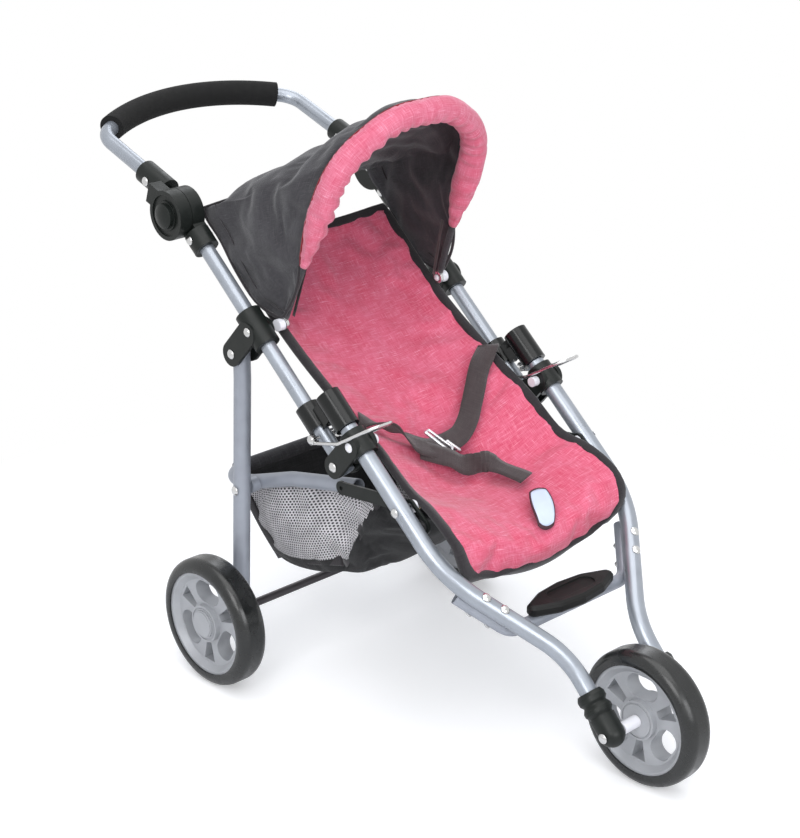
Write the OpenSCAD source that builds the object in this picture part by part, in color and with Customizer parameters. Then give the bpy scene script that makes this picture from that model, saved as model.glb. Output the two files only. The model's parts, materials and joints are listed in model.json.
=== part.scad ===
// Three-wheeled doll stroller with a folding frame, a sling seat, a tilting canopy and a basket.
// Millimetres. +Z is up, -Y is forwards (the front wheel), +X is the stroller's left side.
// The origin is on the floor, under the middle of the whole stroller's box.

/* [Overall layout] */
// Distance between the two side tube planes
track_w = 233.6; // [220:1:250]
// Front axle to rear axle
wheelbase = 389.6; // [380:1:400]
// Fold pivot ahead of the rear axle
fold_ahead = 133.4; // [128:1:138]
// Fold pivot above the axles
fold_rise = 187.9; // [184:1:192]
// Slope of the side tubes above horizontal, in degrees
tube_slope = 40.1; // [39:0.5:41]

/* [Tubes] */
// Outer diameter of the upper side tubes
upper_tube_d = 14; // [13:0.5:15]
// Outer diameter of the front tubes and rear legs
main_tube_d = 16; // [15:0.5:17]
// Outer diameter of the handle tube
handle_tube_d = 14; // [13:0.5:15]
// Outer diameter of the basket frame tube
basket_tube_d = 14; // [13:0.5:15]
// Outer diameter of the footrest tube
footrest_tube_d = 12; // [11:0.5:12]
// Wall of every steel tube
tube_wall = 1.2; // [1:0.1:1.6]
// Front tube axis in front of the upper tube axis
tube_offset = 32.7; // [31:0.5:35]

/* [Wheels] */
// Wheel diameter over the tyre
wheel_d = 124.5; // [120:0.5:130]
// Tyre width
tyre_w = 30; // [26:1:32]
// Diameter of the rim under the tyre
rim_d = 100; // [96:1:102]
// Width of the rim across its hub
hub_w = 26; // [22:1:28]
// Distance between the centres of the rear wheels
rear_track = 323; // [314:1:330]
// Diameter of the rear axle rod
rear_axle_d = 8; // [7:0.5:9]
// Diameter of the front axle rod
front_axle_d = 6; // [5:0.5:7]

/* [Side joints] */
// Handle joint up the side tube from the fold pivot
handle_joint_s = 281.4; // [276:1:287]
// Upper bracket up the side tube from the fold pivot
bracket_s = 147; // [144:1:151]
// Leg pivot behind the side tube axis
leg_drop = 36.3; // [34:0.5:39]
// Front bolt down the front tube from the fold pivot
front_bolt_s = 69.6; // [66:1:73]
// Diameter of the fold, leg and basket pivot pins
pivot_pin_d = 5; // [4:0.5:6]
// Diameter of the rivets and bolts that fasten pieces
rivet_d = 4; // [3:0.5:4.5]
// Wall of the moulded sleeves around the tubes
sleeve_wall = 4.6; // [3.8:0.2:5]
// Thickness of a bracket lug
lug_t = 3.8; // [3:0.2:4.4]

/* [Handle] */
// Handle pivot to the middle of the crossbar
handle_reach = 164.5; // [156:1:172]
// Slope of the handle above horizontal, in degrees
handle_slope = 18.5; // [14:1:26]
// Radius of the bowed crossbar
crossbar_bow = 205; // [190:1:240]
// Diameter of the foam grip
grip_d = 24.4; // [22:0.2:27]
// Length of the foam grip along the crossbar
grip_len = 210; // [180:1:213]
// Height of the handle arms above the joint's axis
arm_offset = 7.9; // [4:0.5:9]
// Diameter of the joint discs
joint_d = 46; // [43:1:48]
// Thickness of each joint disc
joint_t = 13.6; // [12:0.2:14.4]
// Split between the joint discs outside the tube axis
joint_shift = 6.8; // [5:0.2:8]
// Diameter of the joint button
button_d = 23; // [20:0.5:25]
// Travel of the joint button
button_travel = 3.5; // [2.5:0.5:4]

/* [Lock] */
// Length of the slider's front barrel
slider_len = 35; // [32:1:37]
// Travel of the lock slider up the side tube
slider_travel = 36; // [32:1:38]
// Diameter of the bail wire
bail_wire_d = 3.2; // [2.8:0.2:3.6]
// Bail pin up the side tube from the fold pivot
bail_pin_s = 30.5; // [30:0.5:31]

/* [Canopy] */
// Canopy pivot to the top of the hoop
hoop_rise = 203; // [190:1:212]
// Lean of the hoop forwards from vertical, in degrees
hoop_lean = 22; // [18:1:26]
// Half the width of the hoop
hoop_half = 82; // [77:1:85]
// Diameter of the padded roll along the hoop
roll_d = 24; // [20:1:26]
// Thickness of the canopy cloth with its lining
canopy_t = 2.4; // [1.6:0.2:3]

/* [Seat and basket] */
// Half the width of the seat sling
seat_half = 93; // [88:1:93]
// Thickness of the seat sling
seat_t = 5; // [4:0.5:6]
// Half the width of the basket frame between its arm axes
basket_half = 98; // [96:0.5:98]
// Depth of the basket bag below its frame
bag_depth = 84; // [70:1:90]
// Thickness of the basket cloth
bag_t = 2.4; // [1.6:0.2:3]

/* [Fits] */
// Radial running clearance of the pivots and wheels
run_gap = 0.06; // [0.04:0.01:0.1]
// Radial clearance of pieces fastened together
fit_gap = 0.05; // [0.03:0.01:0.1]
// Side gap between pieces that move past each other
side_gap = 0.6; // [0.4:0.1:0.8]

/* [Hidden] */
$fn = 48;

LEFT = 1;
RIGHT = -1;
TUBE_GREY = [0.62, 0.66, 0.72];
LEG_GREY = [0.58, 0.58, 0.62];
BLACK = [0.10, 0.11, 0.11];
GLOSS_BLACK = [0.05, 0.055, 0.055];
NICKEL = [0.80, 0.80, 0.80];
WHITE = [0.93, 0.93, 0.95];
BRASS = [0.72, 0.58, 0.30];
RIM_GREY = [0.55, 0.56, 0.58];
PINK = [0.90, 0.25, 0.35];
CHARCOAL = [0.20, 0.20, 0.21];
WEBBING = [0.26, 0.23, 0.23];

track_half = track_w / 2;
upper_r = upper_tube_d / 2;
main_r = main_tube_d / 2;
handle_r = handle_tube_d / 2;
basket_r = basket_tube_d / 2;
footrest_r = footrest_tube_d / 2;
axle_z = wheel_d / 2;
pin_r = pivot_pin_d / 2;
rivet_r = rivet_d / 2;

// The box of the stroller is centred on y = 0, from the front tyre to the handle grip.
joint_from_axle = handle_joint_s * cos(tube_slope) - fold_ahead;
back_y = joint_from_axle + handle_reach * cos(handle_slope) - arm_offset * sin(handle_slope) + grip_d / 2;
front_y = -wheelbase - wheel_d / 2;
rear_axle_y = -(front_y + back_y) / 2;
front_axle_y = rear_axle_y - wheelbase;
fold_y = rear_axle_y - fold_ahead;
fold_z = axle_z + fold_rise;

function unit(v) = v / norm(v);
function mirrored(p) = [-p.x, p.y, p.z];
function backwards(list) = [for (i = [len(list) - 1:-1:0]) list[i]];
// A point of the left side plane: s runs up the side tube, h stands square to it, to the front.
function side_point(s, h, x = track_half) = [
    x,
    fold_y + s * cos(tube_slope) - h * sin(tube_slope),
    fold_z + s * sin(tube_slope) + h * cos(tube_slope)
];
function turn(points, i) = acos(unit(points[i] - points[i - 1]) * unit(points[i + 1] - points[i]));
function setback(points, bends, i) =
    i == 0 || i == len(points) - 1 ? 0 : bends[i - 1] * tan(turn(points, i) / 2);

// Places its children on the left side plane, with +Y up the side tube and +X outwards.
module side_plane(side, s = 0, h = 0) {
    mirror([side == LEFT ? 0 : 1, 0, 0])
        translate(side_point(s, h)) rotate([tube_slope, 0, 0]) children();
}

module on_side(side) {
    mirror([side == LEFT ? 0 : 1, 0, 0]) children();
}

module both_sides() {
    for (side = [LEFT, RIGHT]) on_side(side) children();
}

// A round bar along X.
module bar_x(r, from, to) {
    translate([from, 0, 0]) rotate([0, 90, 0]) cylinder(r = r, h = to - from);
}

// Turns its children so that their Z axis runs from one point to the other.
module aim(from, to) {
    d = to - from;
    translate(from) rotate([0, acos(d.z / norm(d)), atan2(d.y, d.x)]) children();
}

// A round bar through points, with a bend of its own radius at each inner point.
module bent_bar(points, bends, r) {
    last = len(points) - 1;
    for (i = [0:last - 1]) {
        way = unit(points[i + 1] - points[i]);
        from = points[i] + way * setback(points, bends, i);
        to = points[i + 1] - way * setback(points, bends, i + 1);
        aim(from, to) cylinder(r = r, h = norm(to - from));
    }
    for (i = [1:last - 1]) {
        u = unit(points[i] - points[i - 1]);
        v = unit(points[i + 1] - points[i]);
        out = -unit(v - (v * u) * u);
        up = cross(out, u);
        c = points[i] - u * setback(points, bends, i) - out * bends[i - 1];
        multmatrix([
            [out.x, u.x, up.x, c.x], [out.y, u.y, up.y, c.y], [out.z, u.z, up.z, c.z], [0, 0, 0, 1]
        ]) rotate_extrude(angle = turn(points, i)) translate([bends[i - 1], 0]) circle(r = r);
        before = points[i] - u * setback(points, bends, i);
        after = points[i] + v * setback(points, bends, i);
        aim(before, before + u) seam(r);
        aim(after, after + v) seam(r);
    }
}

// A hair-thin ring on the Z axis that joins a straight length to a bend.
module seam(r) {
    cylinder(r = r + 0.03, h = 1, center = true);
}

// The same bar as a tube, open at both ends.
module bent_tube(points, bends, r) {
    last = len(points) - 1;
    core = [for (i = [0:last])
        i == 0 ? points[0] - unit(points[1] - points[0])
            : i == last ? points[last] + unit(points[last] - points[last - 1])
            : points[i]];
    difference() {
        bent_bar(points, bends, r);
        bent_bar(core, bends, r - tube_wall);
    }
}

// A domed head on the Z axis, with its flat side at z = 0.
module dome(r, h) {
    ball = (r * r + h * h) / (2 * h);
    translate([0, 0, h - ball]) intersection() {
        sphere(r = ball);
        translate([0, 0, ball - h]) cylinder(r = 2 * r, h = 2 * h);
    }
}

module dome_x(r, h, x) {
    translate([x, 0, 0]) rotate([0, x > 0 ? 90 : -90, 0]) dome(r, h);
}

// A riveted pin along X with a dome at each end.
module rivet_x(r, from, to, head_r, head_h) {
    bar_x(r, from, to);
    dome_x(head_r, head_h, to);
    translate([from, 0, 0]) rotate([0, -90, 0]) dome(head_r, head_h);
}

// A flat bar in the YZ plane between two round ends, its thickness along X.
module strap_plate(from, to, r, x0, x1) {
    d = to - from;
    rotate([90, 0, 90]) translate([0, 0, x0]) linear_extrude(height = x1 - x0) union() {
        translate(from) circle(r = r);
        translate(to) circle(r = r);
        translate(from) rotate(atan2(d.y, d.x)) translate([0, -r]) square([norm(d), 2 * r]);
    }
}

head_r = rivet_r + 2.4;
head_h = 2.2;
pin_head_r = pin_r + 2.2;

/* ---- Rear frame ---- */
leg_pivot = side_point(bracket_s + 1, -leg_drop);
leg_hub_gap = 10.5;
leg_foot_half = (rear_track - hub_w) / 2 - main_r - leg_hub_gap;
leg_top_over = 9;
leg_foot_over = 12;
leg_straight = 25;
leg_bend = 120;
leg_points = [
    leg_pivot + [0, 0, leg_top_over],
    leg_pivot - [0, 0, leg_straight],
    [leg_foot_half, rear_axle_y, axle_z - leg_foot_over]
];
// The basket frame's pivot on the leg.
basket_rise = 121.8;
basket_pivot_z = axle_z + basket_rise;
basket_pivot_share = (basket_pivot_z - leg_points[2].z) / (leg_points[1].z - leg_points[2].z);
basket_pivot_leg = leg_points[2] + (leg_points[1] - leg_points[2]) * basket_pivot_share;
basket_pivot = [basket_pivot_leg.x, basket_pivot_leg.y, basket_pivot_z];

module rear_leg(side) {
    color(LEG_GREY) on_side(side) difference() {
        bent_tube(leg_points, [leg_bend], main_r);
        translate(leg_pivot) bar_x(pin_r + fit_gap, -2 * main_r, 2 * main_r);
        translate(basket_pivot) bar_x(pin_r + fit_gap, -2 * main_r, 2 * main_r);
        translate([leg_foot_half, rear_axle_y, axle_z])
            bar_x(rear_axle_d / 2 + fit_gap, -2 * main_r, 2 * main_r);
    }
}

axle_tip = rear_track / 2 + hub_w / 2 - 1;

module rear_axle() {
    color(CHARCOAL) translate([0, rear_axle_y, axle_z])
        bar_x(rear_axle_d / 2, -axle_tip, axle_tip);
}

lug_gap = main_r + side_gap;
lug_out = lug_gap + lug_t;

module leg_pins() {
    color(NICKEL) both_sides() translate([track_half, leg_pivot.y, leg_pivot.z])
        rivet_x(pin_r, -lug_out - side_gap / 2, lug_out + side_gap / 2, pin_head_r, head_h);
}

arm_out = basket_half + basket_r;

module basket_pins() {
    color(NICKEL) both_sides() translate([0, basket_pivot.y, basket_pivot.z])
        rivet_x(pin_r, basket_half - basket_r - side_gap, basket_pivot.x + main_r + 0.6,
            pin_head_r, head_h);
}

module basket_spacers() {
    color(LEG_GREY) both_sides() translate([0, basket_pivot.y, basket_pivot.z])
        difference() {
            bar_x(basket_r, arm_out + side_gap, basket_pivot.x - main_r - 0.4);
            bar_x(pin_r + fit_gap, arm_out, basket_pivot.x);
        }
}

/* ---- Wheels ---- */
rim_r = rim_d / 2;
tyre_r = wheel_d / 2;
rim_lip = 2.5;
rim_half = tyre_w / 2 - 2;
// The thick web lies a little inside the lip, and a dished ring joins the two.
web_half = rim_half - 5.5;
web_r = rim_r - 7.5;
hub_r = 18;
hub_groove_r = 15.5;
hole_r = 10.4;
hole_half = 6.5;
hole_at = (hub_r + web_r) / 2 - 0.2;
cap_r = 13.4;
cap_t = 2.6;
tyre_round = 9.5;

// A rim on the X axis, with three long holes and three windows through its web.
module rim(bore) {
    difference() {
        rotate([0, 90, 0]) union() {
            difference() {
                translate([0, 0, -rim_half]) cylinder(r = rim_r, h = 2 * rim_half);
                for (end = [0, 180]) rotate([end, 0, 0]) translate([0, 0, web_half])
                    cylinder(r1 = web_r, r2 = rim_r - rim_lip + 0.3, h = rim_half - web_half + 0.3);
            }
            cylinder(r = hub_r, h = hub_w, center = true);
        }
        bar_x(bore, -hub_w, hub_w);
        for (end = [-1, 1]) translate([end * hub_w / 2, 0, 0]) difference() {
            bar_x(hub_groove_r + 0.6, -0.7, 0.7);
            bar_x(hub_groove_r - 0.6, -1, 1);
        }
        for (k = [0:2]) rotate([120 * k, 0, 0]) {
            for (y = [-hole_half, hole_half])
                translate([0, y, hole_at]) bar_x(hole_r, -hub_w, hub_w);
            translate([-hub_w, -hole_half, hole_at - hole_r])
                cube([2 * hub_w, 2 * hole_half, 2 * hole_r]);
            rotate([60, 0, 0]) rotate([0, 90, 0]) rotate(180)
                linear_extrude(height = 2 * hub_w, center = true) window_outline();
        }
    }
}

// The smaller window: four corners between the hub and the lip.
module window_outline() {
    near = hub_r + 3;
    far = web_r - 2.5;
    polygon([[near, -3.4], [far, -7.5], [far, 7.5], [near, 3.4]]);
}

// A tyre on the X axis with round shoulders.
module tyre() {
    seat_r = rim_r + fit_gap;
    side = tyre_w / 2 - tyre_round;
    rotate([0, 90, 0]) rotate_extrude() intersection() {
        translate([seat_r, -tyre_w / 2]) square([tyre_r - seat_r, tyre_w]);
        union() {
            for (z = [-side, side]) translate([tyre_r - tyre_round, z]) circle(r = tyre_round);
            translate([seat_r, -side]) square([tyre_r - seat_r, 2 * side]);
            translate([seat_r, -tyre_w / 2 + 1])
                square([tyre_r - seat_r - tyre_round + 2, tyre_w - 2]);
        }
    }
}

module rear_wheel_place(side) {
    on_side(side) translate([rear_track / 2, rear_axle_y, axle_z]) children();
}

module rear_rim(side) {
    color(RIM_GREY) rear_wheel_place(side) rim(rear_axle_d / 2 + run_gap);
}

module rear_tyre(side) {
    color(BLACK) rear_wheel_place(side) tyre();
}

// The flat push-on cap covers the end of the axle.
module hub_cap(side) {
    color(RIM_GREY) rear_wheel_place(side) union() {
        bar_x(cap_r, hub_w / 2 + 0.1, hub_w / 2 + cap_t - 0.8);
        bar_x(cap_r - 1.2, hub_w / 2 + 0.1, hub_w / 2 + cap_t);
    }
}

/* ---- Upper frame ---- */
tube_end_over = 8;
joint_grip_from = 24.5;
joint_grip_len = 18.9;
handle_grip_len = 36;
upper_tube_top = handle_joint_s - joint_grip_from - 1.5;
joint_rivet_s = handle_joint_s - joint_grip_from - 6;
upper_sleeve_r = upper_r + sleeve_wall + 0.4;
bracket_half = 18;
stud_r = 5.5;
stud_in = 19;
stud_s = bracket_s - 6.3;
stud_h = 9.8;

module upper_tube(side) {
    color(TUBE_GREY) side_plane(side) difference() {
        rotate([-90, 0, 0]) translate([0, 0, -tube_end_over])
            cylinder(r = upper_r, h = upper_tube_top + tube_end_over);
        rotate([-90, 0, 0]) translate([0, 0, -tube_end_over - 1])
            cylinder(r = upper_r - tube_wall, h = upper_tube_top + tube_end_over + 2);
        bar_x(pin_r + run_gap, -2 * upper_r, 2 * upper_r);
        for (s = [bail_pin_s, bracket_s, joint_rivet_s]) translate([0, s, 0])
            bar_x(rivet_r + fit_gap, -2 * upper_r, 2 * upper_r);
    }
}

module upper_bracket(side) {
    color(BLACK) side_plane(side, bracket_s) difference() {
        union() {
            rotate([90, 0, 0]) cylinder(r = upper_sleeve_r, h = 2 * bracket_half, center = true);
            for (x = [-lug_out, lug_gap])
                strap_plate([0, -4], [1, -leg_drop], 11.5, x, x + lug_t);
        }
        rotate([90, 0, 0]) cylinder(r = upper_r + fit_gap, h = 3 * bracket_half, center = true);
        bar_x(rivet_r + fit_gap, -2 * lug_out, 2 * lug_out);
        translate([0, 1, -leg_drop]) bar_x(pin_r + run_gap, -2 * lug_out, 2 * lug_out);
    }
}

module upper_rivets() {
    color(NICKEL) for (side = [LEFT, RIGHT]) {
        side_plane(side, bracket_s)
            rivet_x(rivet_r, -lug_out - 0.2, lug_out + 0.2, head_r, head_h);
        side_plane(side, joint_rivet_s)
            rivet_x(rivet_r, -upper_sleeve_r - 0.2, upper_sleeve_r + 0.2, head_r, head_h);
    }
}

eye_t = 3;
eye_r = 6;
stud_pin_r = 2;

// A white stud inside each bracket, with the pin that the canopy hoop turns on.
module canopy_studs() {
    color(WHITE) for (side = [LEFT, RIGHT]) side_plane(side, stud_s, stud_h) {
        bar_x(stud_r, -stud_in, -lug_out - 0.2);
        bar_x(stud_pin_r, -stud_in - eye_t - 2 * side_gap, -stud_in);
        translate([-stud_in - eye_t - 2 * side_gap, 0, 0]) rotate([0, -90, 0]) dome(3.4, 1.4);
    }
}

joint_r = joint_d / 2;
pin_bolt_r = 3;
joint_gap = side_gap / 2;
neck_w = 10.4;

// One half of the joint: a disc at the pivot, and a sleeve along +Y for its tube.
module joint_half(sleeve_r, tube_r, disc_from, disc_to, length, lift) {
    bar_x(joint_r, disc_from, disc_to);
    difference() {
        union() {
            translate([disc_from, joint_r * 0.5, lift - sleeve_r * 0.84])
                cube([disc_to - disc_from, joint_grip_from - joint_r * 0.5 + 5, sleeve_r * 1.68]);
            translate([0, joint_grip_from, lift]) rotate([-90, 0, 0])
                cylinder(r = sleeve_r, h = length);
        }
        translate([0, joint_grip_from + 1, lift]) rotate([-90, 0, 0])
            cylinder(r = tube_r + fit_gap, h = length);
    }
}

module inner_joint(side) {
    color(BLACK) side_plane(side, handle_joint_s) difference() {
        rotate([180, 0, 0]) joint_half(upper_sleeve_r, upper_r, joint_shift - joint_t,
            joint_shift - joint_gap, joint_grip_len, 0);
        bar_x(pin_bolt_r + fit_gap, -2 * joint_t, 2 * joint_t);
        translate([0, joint_rivet_s - handle_joint_s, 0])
            bar_x(rivet_r + fit_gap, -2 * upper_sleeve_r, 2 * upper_sleeve_r);
    }
}

module joint_bolts() {
    color(NICKEL) for (side = [LEFT, RIGHT]) side_plane(side, handle_joint_s) {
        bar_x(pin_bolt_r, joint_shift - joint_t - 0.2, joint_shift + joint_t * 0.35);
        translate([joint_shift - joint_t - 0.2, 0, 0]) rotate([0, -90, 0]) dome(5.5, 2.4);
    }
}

bail_half = main_r + sleeve_wall + bail_wire_d / 2 + 0.6;
bail_eye_r = 4.6;
bail_eye_t = 3;
bail_pin_out = bail_half + bail_eye_t / 2 + side_gap / 2;

module bail_pins() {
    color(NICKEL) for (side = [LEFT, RIGHT]) side_plane(side, bail_pin_s)
        rivet_x(rivet_r, -bail_pin_out, bail_pin_out, head_r, head_h);
}

/* ---- Handle ---- */
handle_sleeve_r = handle_r + sleeve_wall - 0.4;
corner_bend = 25;
bow_y = handle_reach - crossbar_bow;
corner_angle = asin((track_half - corner_bend) / (crossbar_bow - corner_bend));
corner_y = bow_y + (crossbar_bow - corner_bend) * cos(corner_angle);
handle_rivet_y = joint_grip_from + 21.3;

// Places its children in the handle's own plane, with +Y along the handle arms.
module handle_plane() {
    translate([0, side_point(handle_joint_s, 0).y, side_point(handle_joint_s, 0).z])
        rotate([handle_slope, 0, 0]) children();
}

// Places its children on the arms, which lie above the joint's axis.
module handle_arms() {
    handle_plane() translate([0, 0, arm_offset]) children();
}

module handle_bar(r, start) {
    for (side = [LEFT, RIGHT]) on_side(side) {
        translate([track_half, start, 0]) rotate([-90, 0, 0]) cylinder(r = r, h = corner_y - start);
        translate([track_half, corner_y, 0]) rotate([90, 0, 0]) seam(r);
        translate([track_half - corner_bend, corner_y, 0]) rotate_extrude(angle = 90 - corner_angle)
            translate([corner_bend, 0]) circle(r = r);
        translate([0, bow_y, 0]) rotate(90 - corner_angle) translate([crossbar_bow, 0, 0])
            rotate([90, 0, 0]) seam(r);
    }
    bow(r, corner_angle);
}

module bow(r, half_angle) {
    translate([0, bow_y, 0]) rotate(90 - half_angle) rotate_extrude(angle = 2 * half_angle)
        translate([crossbar_bow, 0]) circle(r = r);
}

module handle_tube() {
    start = joint_grip_from + 1.5;
    color(TUBE_GREY) handle_arms() difference() {
        handle_bar(handle_r, start);
        handle_bar(handle_r - tube_wall, start - 1);
        for (side = [LEFT, RIGHT]) on_side(side) translate([track_half, handle_rivet_y, 0])
            bar_x(rivet_r + fit_gap, -2 * handle_r, 2 * handle_r);
    }
}

module handle_grip() {
    half_angle = grip_len / 2 / crossbar_bow * 180 / PI;
    color(CHARCOAL) handle_arms() difference() {
        bow(grip_d / 2, half_angle);
        bow(handle_r + fit_gap, half_angle + 1);
    }
}

button_r = button_d / 2;
button_proud = 6;
button_len = 4.5;
joint_out = joint_shift + joint_t;
pocket_floor = joint_out - button_len - button_travel;
ring_r = joint_r - 4;
ring_depth = 1.6;

module outer_joint(side) {
    color(BLACK) on_side(side) handle_plane() translate([track_half, 0, 0]) difference() {
        joint_half(handle_sleeve_r, handle_r, joint_shift + joint_gap, joint_out,
            handle_grip_len, arm_offset);
        bar_x(pin_bolt_r + run_gap, 0, joint_out);
        bar_x(button_r + run_gap, pocket_floor, 2 * joint_out);
        difference() {
            bar_x(ring_r, joint_out - ring_depth, 2 * joint_out);
            bar_x(button_r + 2.4, 0, 3 * joint_out);
        }
        translate([0, handle_rivet_y, arm_offset])
            bar_x(rivet_r + fit_gap, -2 * handle_sleeve_r, 2 * handle_sleeve_r);
    }
}

module handle_rivets() {
    color(NICKEL) handle_arms() for (side = [LEFT, RIGHT]) on_side(side)
        translate([track_half, handle_rivet_y, 0])
            rivet_x(rivet_r, -handle_sleeve_r - 0.2, handle_sleeve_r + 0.2, head_r, head_h);
}

module joint_button(side) {
    color(BLACK) on_side(side) handle_plane() translate([track_half, 0, 0]) union() {
        bar_x(button_r, joint_out - button_len, joint_out + button_proud - 3);
        translate([joint_out + button_proud - 3, 0, 0]) rotate([0, 90, 0]) dome(button_r, 3);
    }
}

/* ---- Lock: slider and bail ---- */
slider_mouth = 18;
front_barrel_r = main_r + 3.4;
rear_barrel_r = upper_r + 3.8;
rear_barrel_from = 38;
rear_barrel_to = slider_mouth + slider_len + 9;
nose_len = 9;
nose_tip_r = 2;
nose_base_r = main_r - 0.4;
seat_gap = 0.5;

// The slider rides on the upper tube; its front barrel caps the tapered nose of the front tube.
module lock_slider(side) {
    color(GLOSS_BLACK) side_plane(side) difference() {
        union() {
            translate([0, slider_mouth, tube_offset]) rotate([-90, 0, 0])
                cylinder(r = front_barrel_r, h = slider_len);
            translate([0, rear_barrel_from, 0]) rotate([-90, 0, 0])
                cylinder(r = rear_barrel_r, h = rear_barrel_to - rear_barrel_from);
            translate([-4.5, rear_barrel_from - 4, upper_r + 1.5])
                cube([9, slider_mouth + slider_len - rear_barrel_from + 4,
                    tube_offset - upper_r - main_r]);
        }
        translate([0, rear_barrel_from - 1, 0]) rotate([-90, 0, 0])
            cylinder(r = upper_r + run_gap, h = rear_barrel_to - rear_barrel_from + 2);
        translate([0, slider_mouth - seat_gap, tube_offset]) rotate([-90, 0, 0])
            cylinder(r1 = nose_base_r + seat_gap, r2 = nose_tip_r + seat_gap,
                h = nose_len + 2 * seat_gap);
        translate([0, slider_mouth + slider_len - 6, tube_offset]) rotate([-90, 0, 0])
            cylinder(r = front_barrel_r - 2.4, h = 7);
    }
}

bail_points = [
    [bail_half, bail_eye_r - 1 , 0],
    [bail_half, 21.5, 26.4],
    [bail_half, 36.4, 73.3],
    [-bail_half, 36.4, 73.3],
    [-bail_half, 21.5, 26.4],
    [-bail_half, bail_eye_r - 1, 0]
];

// The wire bail: two eyes on the bail pin, and a loop around both tubes.
module bail(side) {
    color(NICKEL) side_plane(side, bail_pin_s) {
        difference() {
            union() {
                mirror([0, 1, 0]) bent_bar(bail_points, [8, 11, 11, 8], bail_wire_d / 2);
                for (x = [-bail_half, bail_half])
                    bar_x(bail_eye_r, x - bail_eye_t / 2, x + bail_eye_t / 2);
            }
            bar_x(rivet_r + run_gap, -2 * bail_half, 2 * bail_half);
        }
    }
}

/* ---- Front frame ---- */
fork_half = 44.5;
front_axle_at = [fork_half, front_axle_y, axle_z];
front_top_s = slider_mouth - 0.4;
front_straight = 137.8;
knee = side_point(-front_straight, tube_offset);
ankle = front_axle_at + [0, 51.8, 53];
shin = unit(ankle - knee);
foot = unit(front_axle_at - ankle);
tube_stop = 13;
front_points = [
    side_point(front_top_s, tube_offset), knee, ankle, front_axle_at - foot * tube_stop
];
front_bends = [110, 80];
// The bolt direction of the footrest: square to the shin, in the side view.
bolt_way = unit([0, shin.z, -shin.y]);
footrest_bolt_at = [39, 58];
footrest_drop = main_r + footrest_r + 0.2;

module front_tube(side) {
    color(TUBE_GREY) on_side(side) difference() {
        bent_tube(front_points, front_bends, main_r);
        for (s = [0, -front_bolt_s]) translate(side_point(s, tube_offset))
            bar_x(rivet_r + fit_gap, -2 * main_r, 2 * main_r);
        for (t = footrest_bolt_at) footrest_bolt_place(t)
            cylinder(r = rivet_r + fit_gap, h = 4 * main_r, center = true);
    }
}

module footrest_bolt_place(t) {
    at = knee + shin * t;
    aim(at, at + bolt_way) children();
}

// A tapered black plug in the top end of each front tube.
module tube_noses() {
    color(GLOSS_BLACK) for (side = [LEFT, RIGHT]) side_plane(side, 0, tube_offset)
        translate([0, front_top_s, 0]) rotate([-90, 0, 0]) {
            translate([0, 0, 0.1]) cylinder(r1 = nose_base_r, r2 = nose_tip_r, h = nose_len);
            translate([0, 0, -8]) cylinder(r = main_r - tube_wall - fit_gap, h = 8.1);
        }
}

lower_sleeve_r = main_r + sleeve_wall - 0.8;
lower_half = 12;
fold_lug_gap = upper_r + side_gap;
fold_lug_out = fold_lug_gap + lug_t + 0.6;

module lower_bracket(side) {
    color(BLACK) side_plane(side) difference() {
        union() {
            translate([0, 0, tube_offset]) rotate([90, 0, 0])
                cylinder(r = lower_sleeve_r, h = 2 * lower_half, center = true);
            for (x = [-fold_lug_out, fold_lug_gap])
                strap_plate([0, 0], [0, tube_offset], 10.5, x, x + lug_t + 0.6);
        }
        translate([0, 0, tube_offset]) rotate([90, 0, 0])
            cylinder(r = main_r + fit_gap, h = 3 * lower_half, center = true);
        bar_x(pin_r + fit_gap, -2 * fold_lug_out, 2 * fold_lug_out);
        translate([0, 0, tube_offset]) bar_x(rivet_r + fit_gap, -2 * main_r, 2 * main_r);
    }
}

module fold_pins() {
    color(NICKEL) for (side = [LEFT, RIGHT]) side_plane(side)
        rivet_x(pin_r, -fold_lug_out - 0.2, fold_lug_out + 0.2, pin_head_r, head_h);
}

// A screw through each lower bracket, with a white stud on its inner end.
module lower_studs() {
    color(WHITE) for (side = [LEFT, RIGHT]) side_plane(side, 0, tube_offset) {
        bar_x(rivet_r, -lower_sleeve_r - 0.3, lower_sleeve_r + 0.2);
        bar_x(stud_r - 0.9, -stud_in, -fold_lug_out - 0.3);
        dome_x(head_r, head_h, lower_sleeve_r + 0.2);
    }
}

link_t = 2.4;
link_in = track_half - arm_out - 0.2;
spacer_from = link_in + 0.3;
spacer_to = spacer_from + 3.6;
nut_t = 2.8;

module front_bolts() {
    color(NICKEL) for (side = [LEFT, RIGHT]) side_plane(side, -front_bolt_s, tube_offset) {
        bar_x(rivet_r, -spacer_to - nut_t - 0.6, main_r + 0.2);
        dome_x(head_r, head_h, main_r + 0.2);
    }
}

module bolt_spacers() {
    color(WHITE) for (side = [LEFT, RIGHT]) side_plane(side, -front_bolt_s, tube_offset)
        difference() {
            bar_x(stud_r, -spacer_to, -spacer_from);
            bar_x(rivet_r + fit_gap, -2 * spacer_to, 0);
        }
}

module bolt_nuts() {
    color(BRASS) for (side = [LEFT, RIGHT]) side_plane(side, -front_bolt_s, tube_offset)
        difference() {
            translate([-spacer_to - nut_t - 0.1, 0, 0]) rotate([0, 90, 0])
                cylinder(r = 5, h = nut_t, $fn = 6);
            bar_x(rivet_r + fit_gap, -2 * spacer_to, 0);
        }
}

footrest_from = 20;
footrest_to = 76;
footrest_near = knee + shin * footrest_from - bolt_way * footrest_drop;
footrest_corner = knee + shin * footrest_to - bolt_way * footrest_drop;
footrest_points = [
    footrest_near, footrest_corner, mirrored(footrest_corner), mirrored(footrest_near)
];

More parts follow.
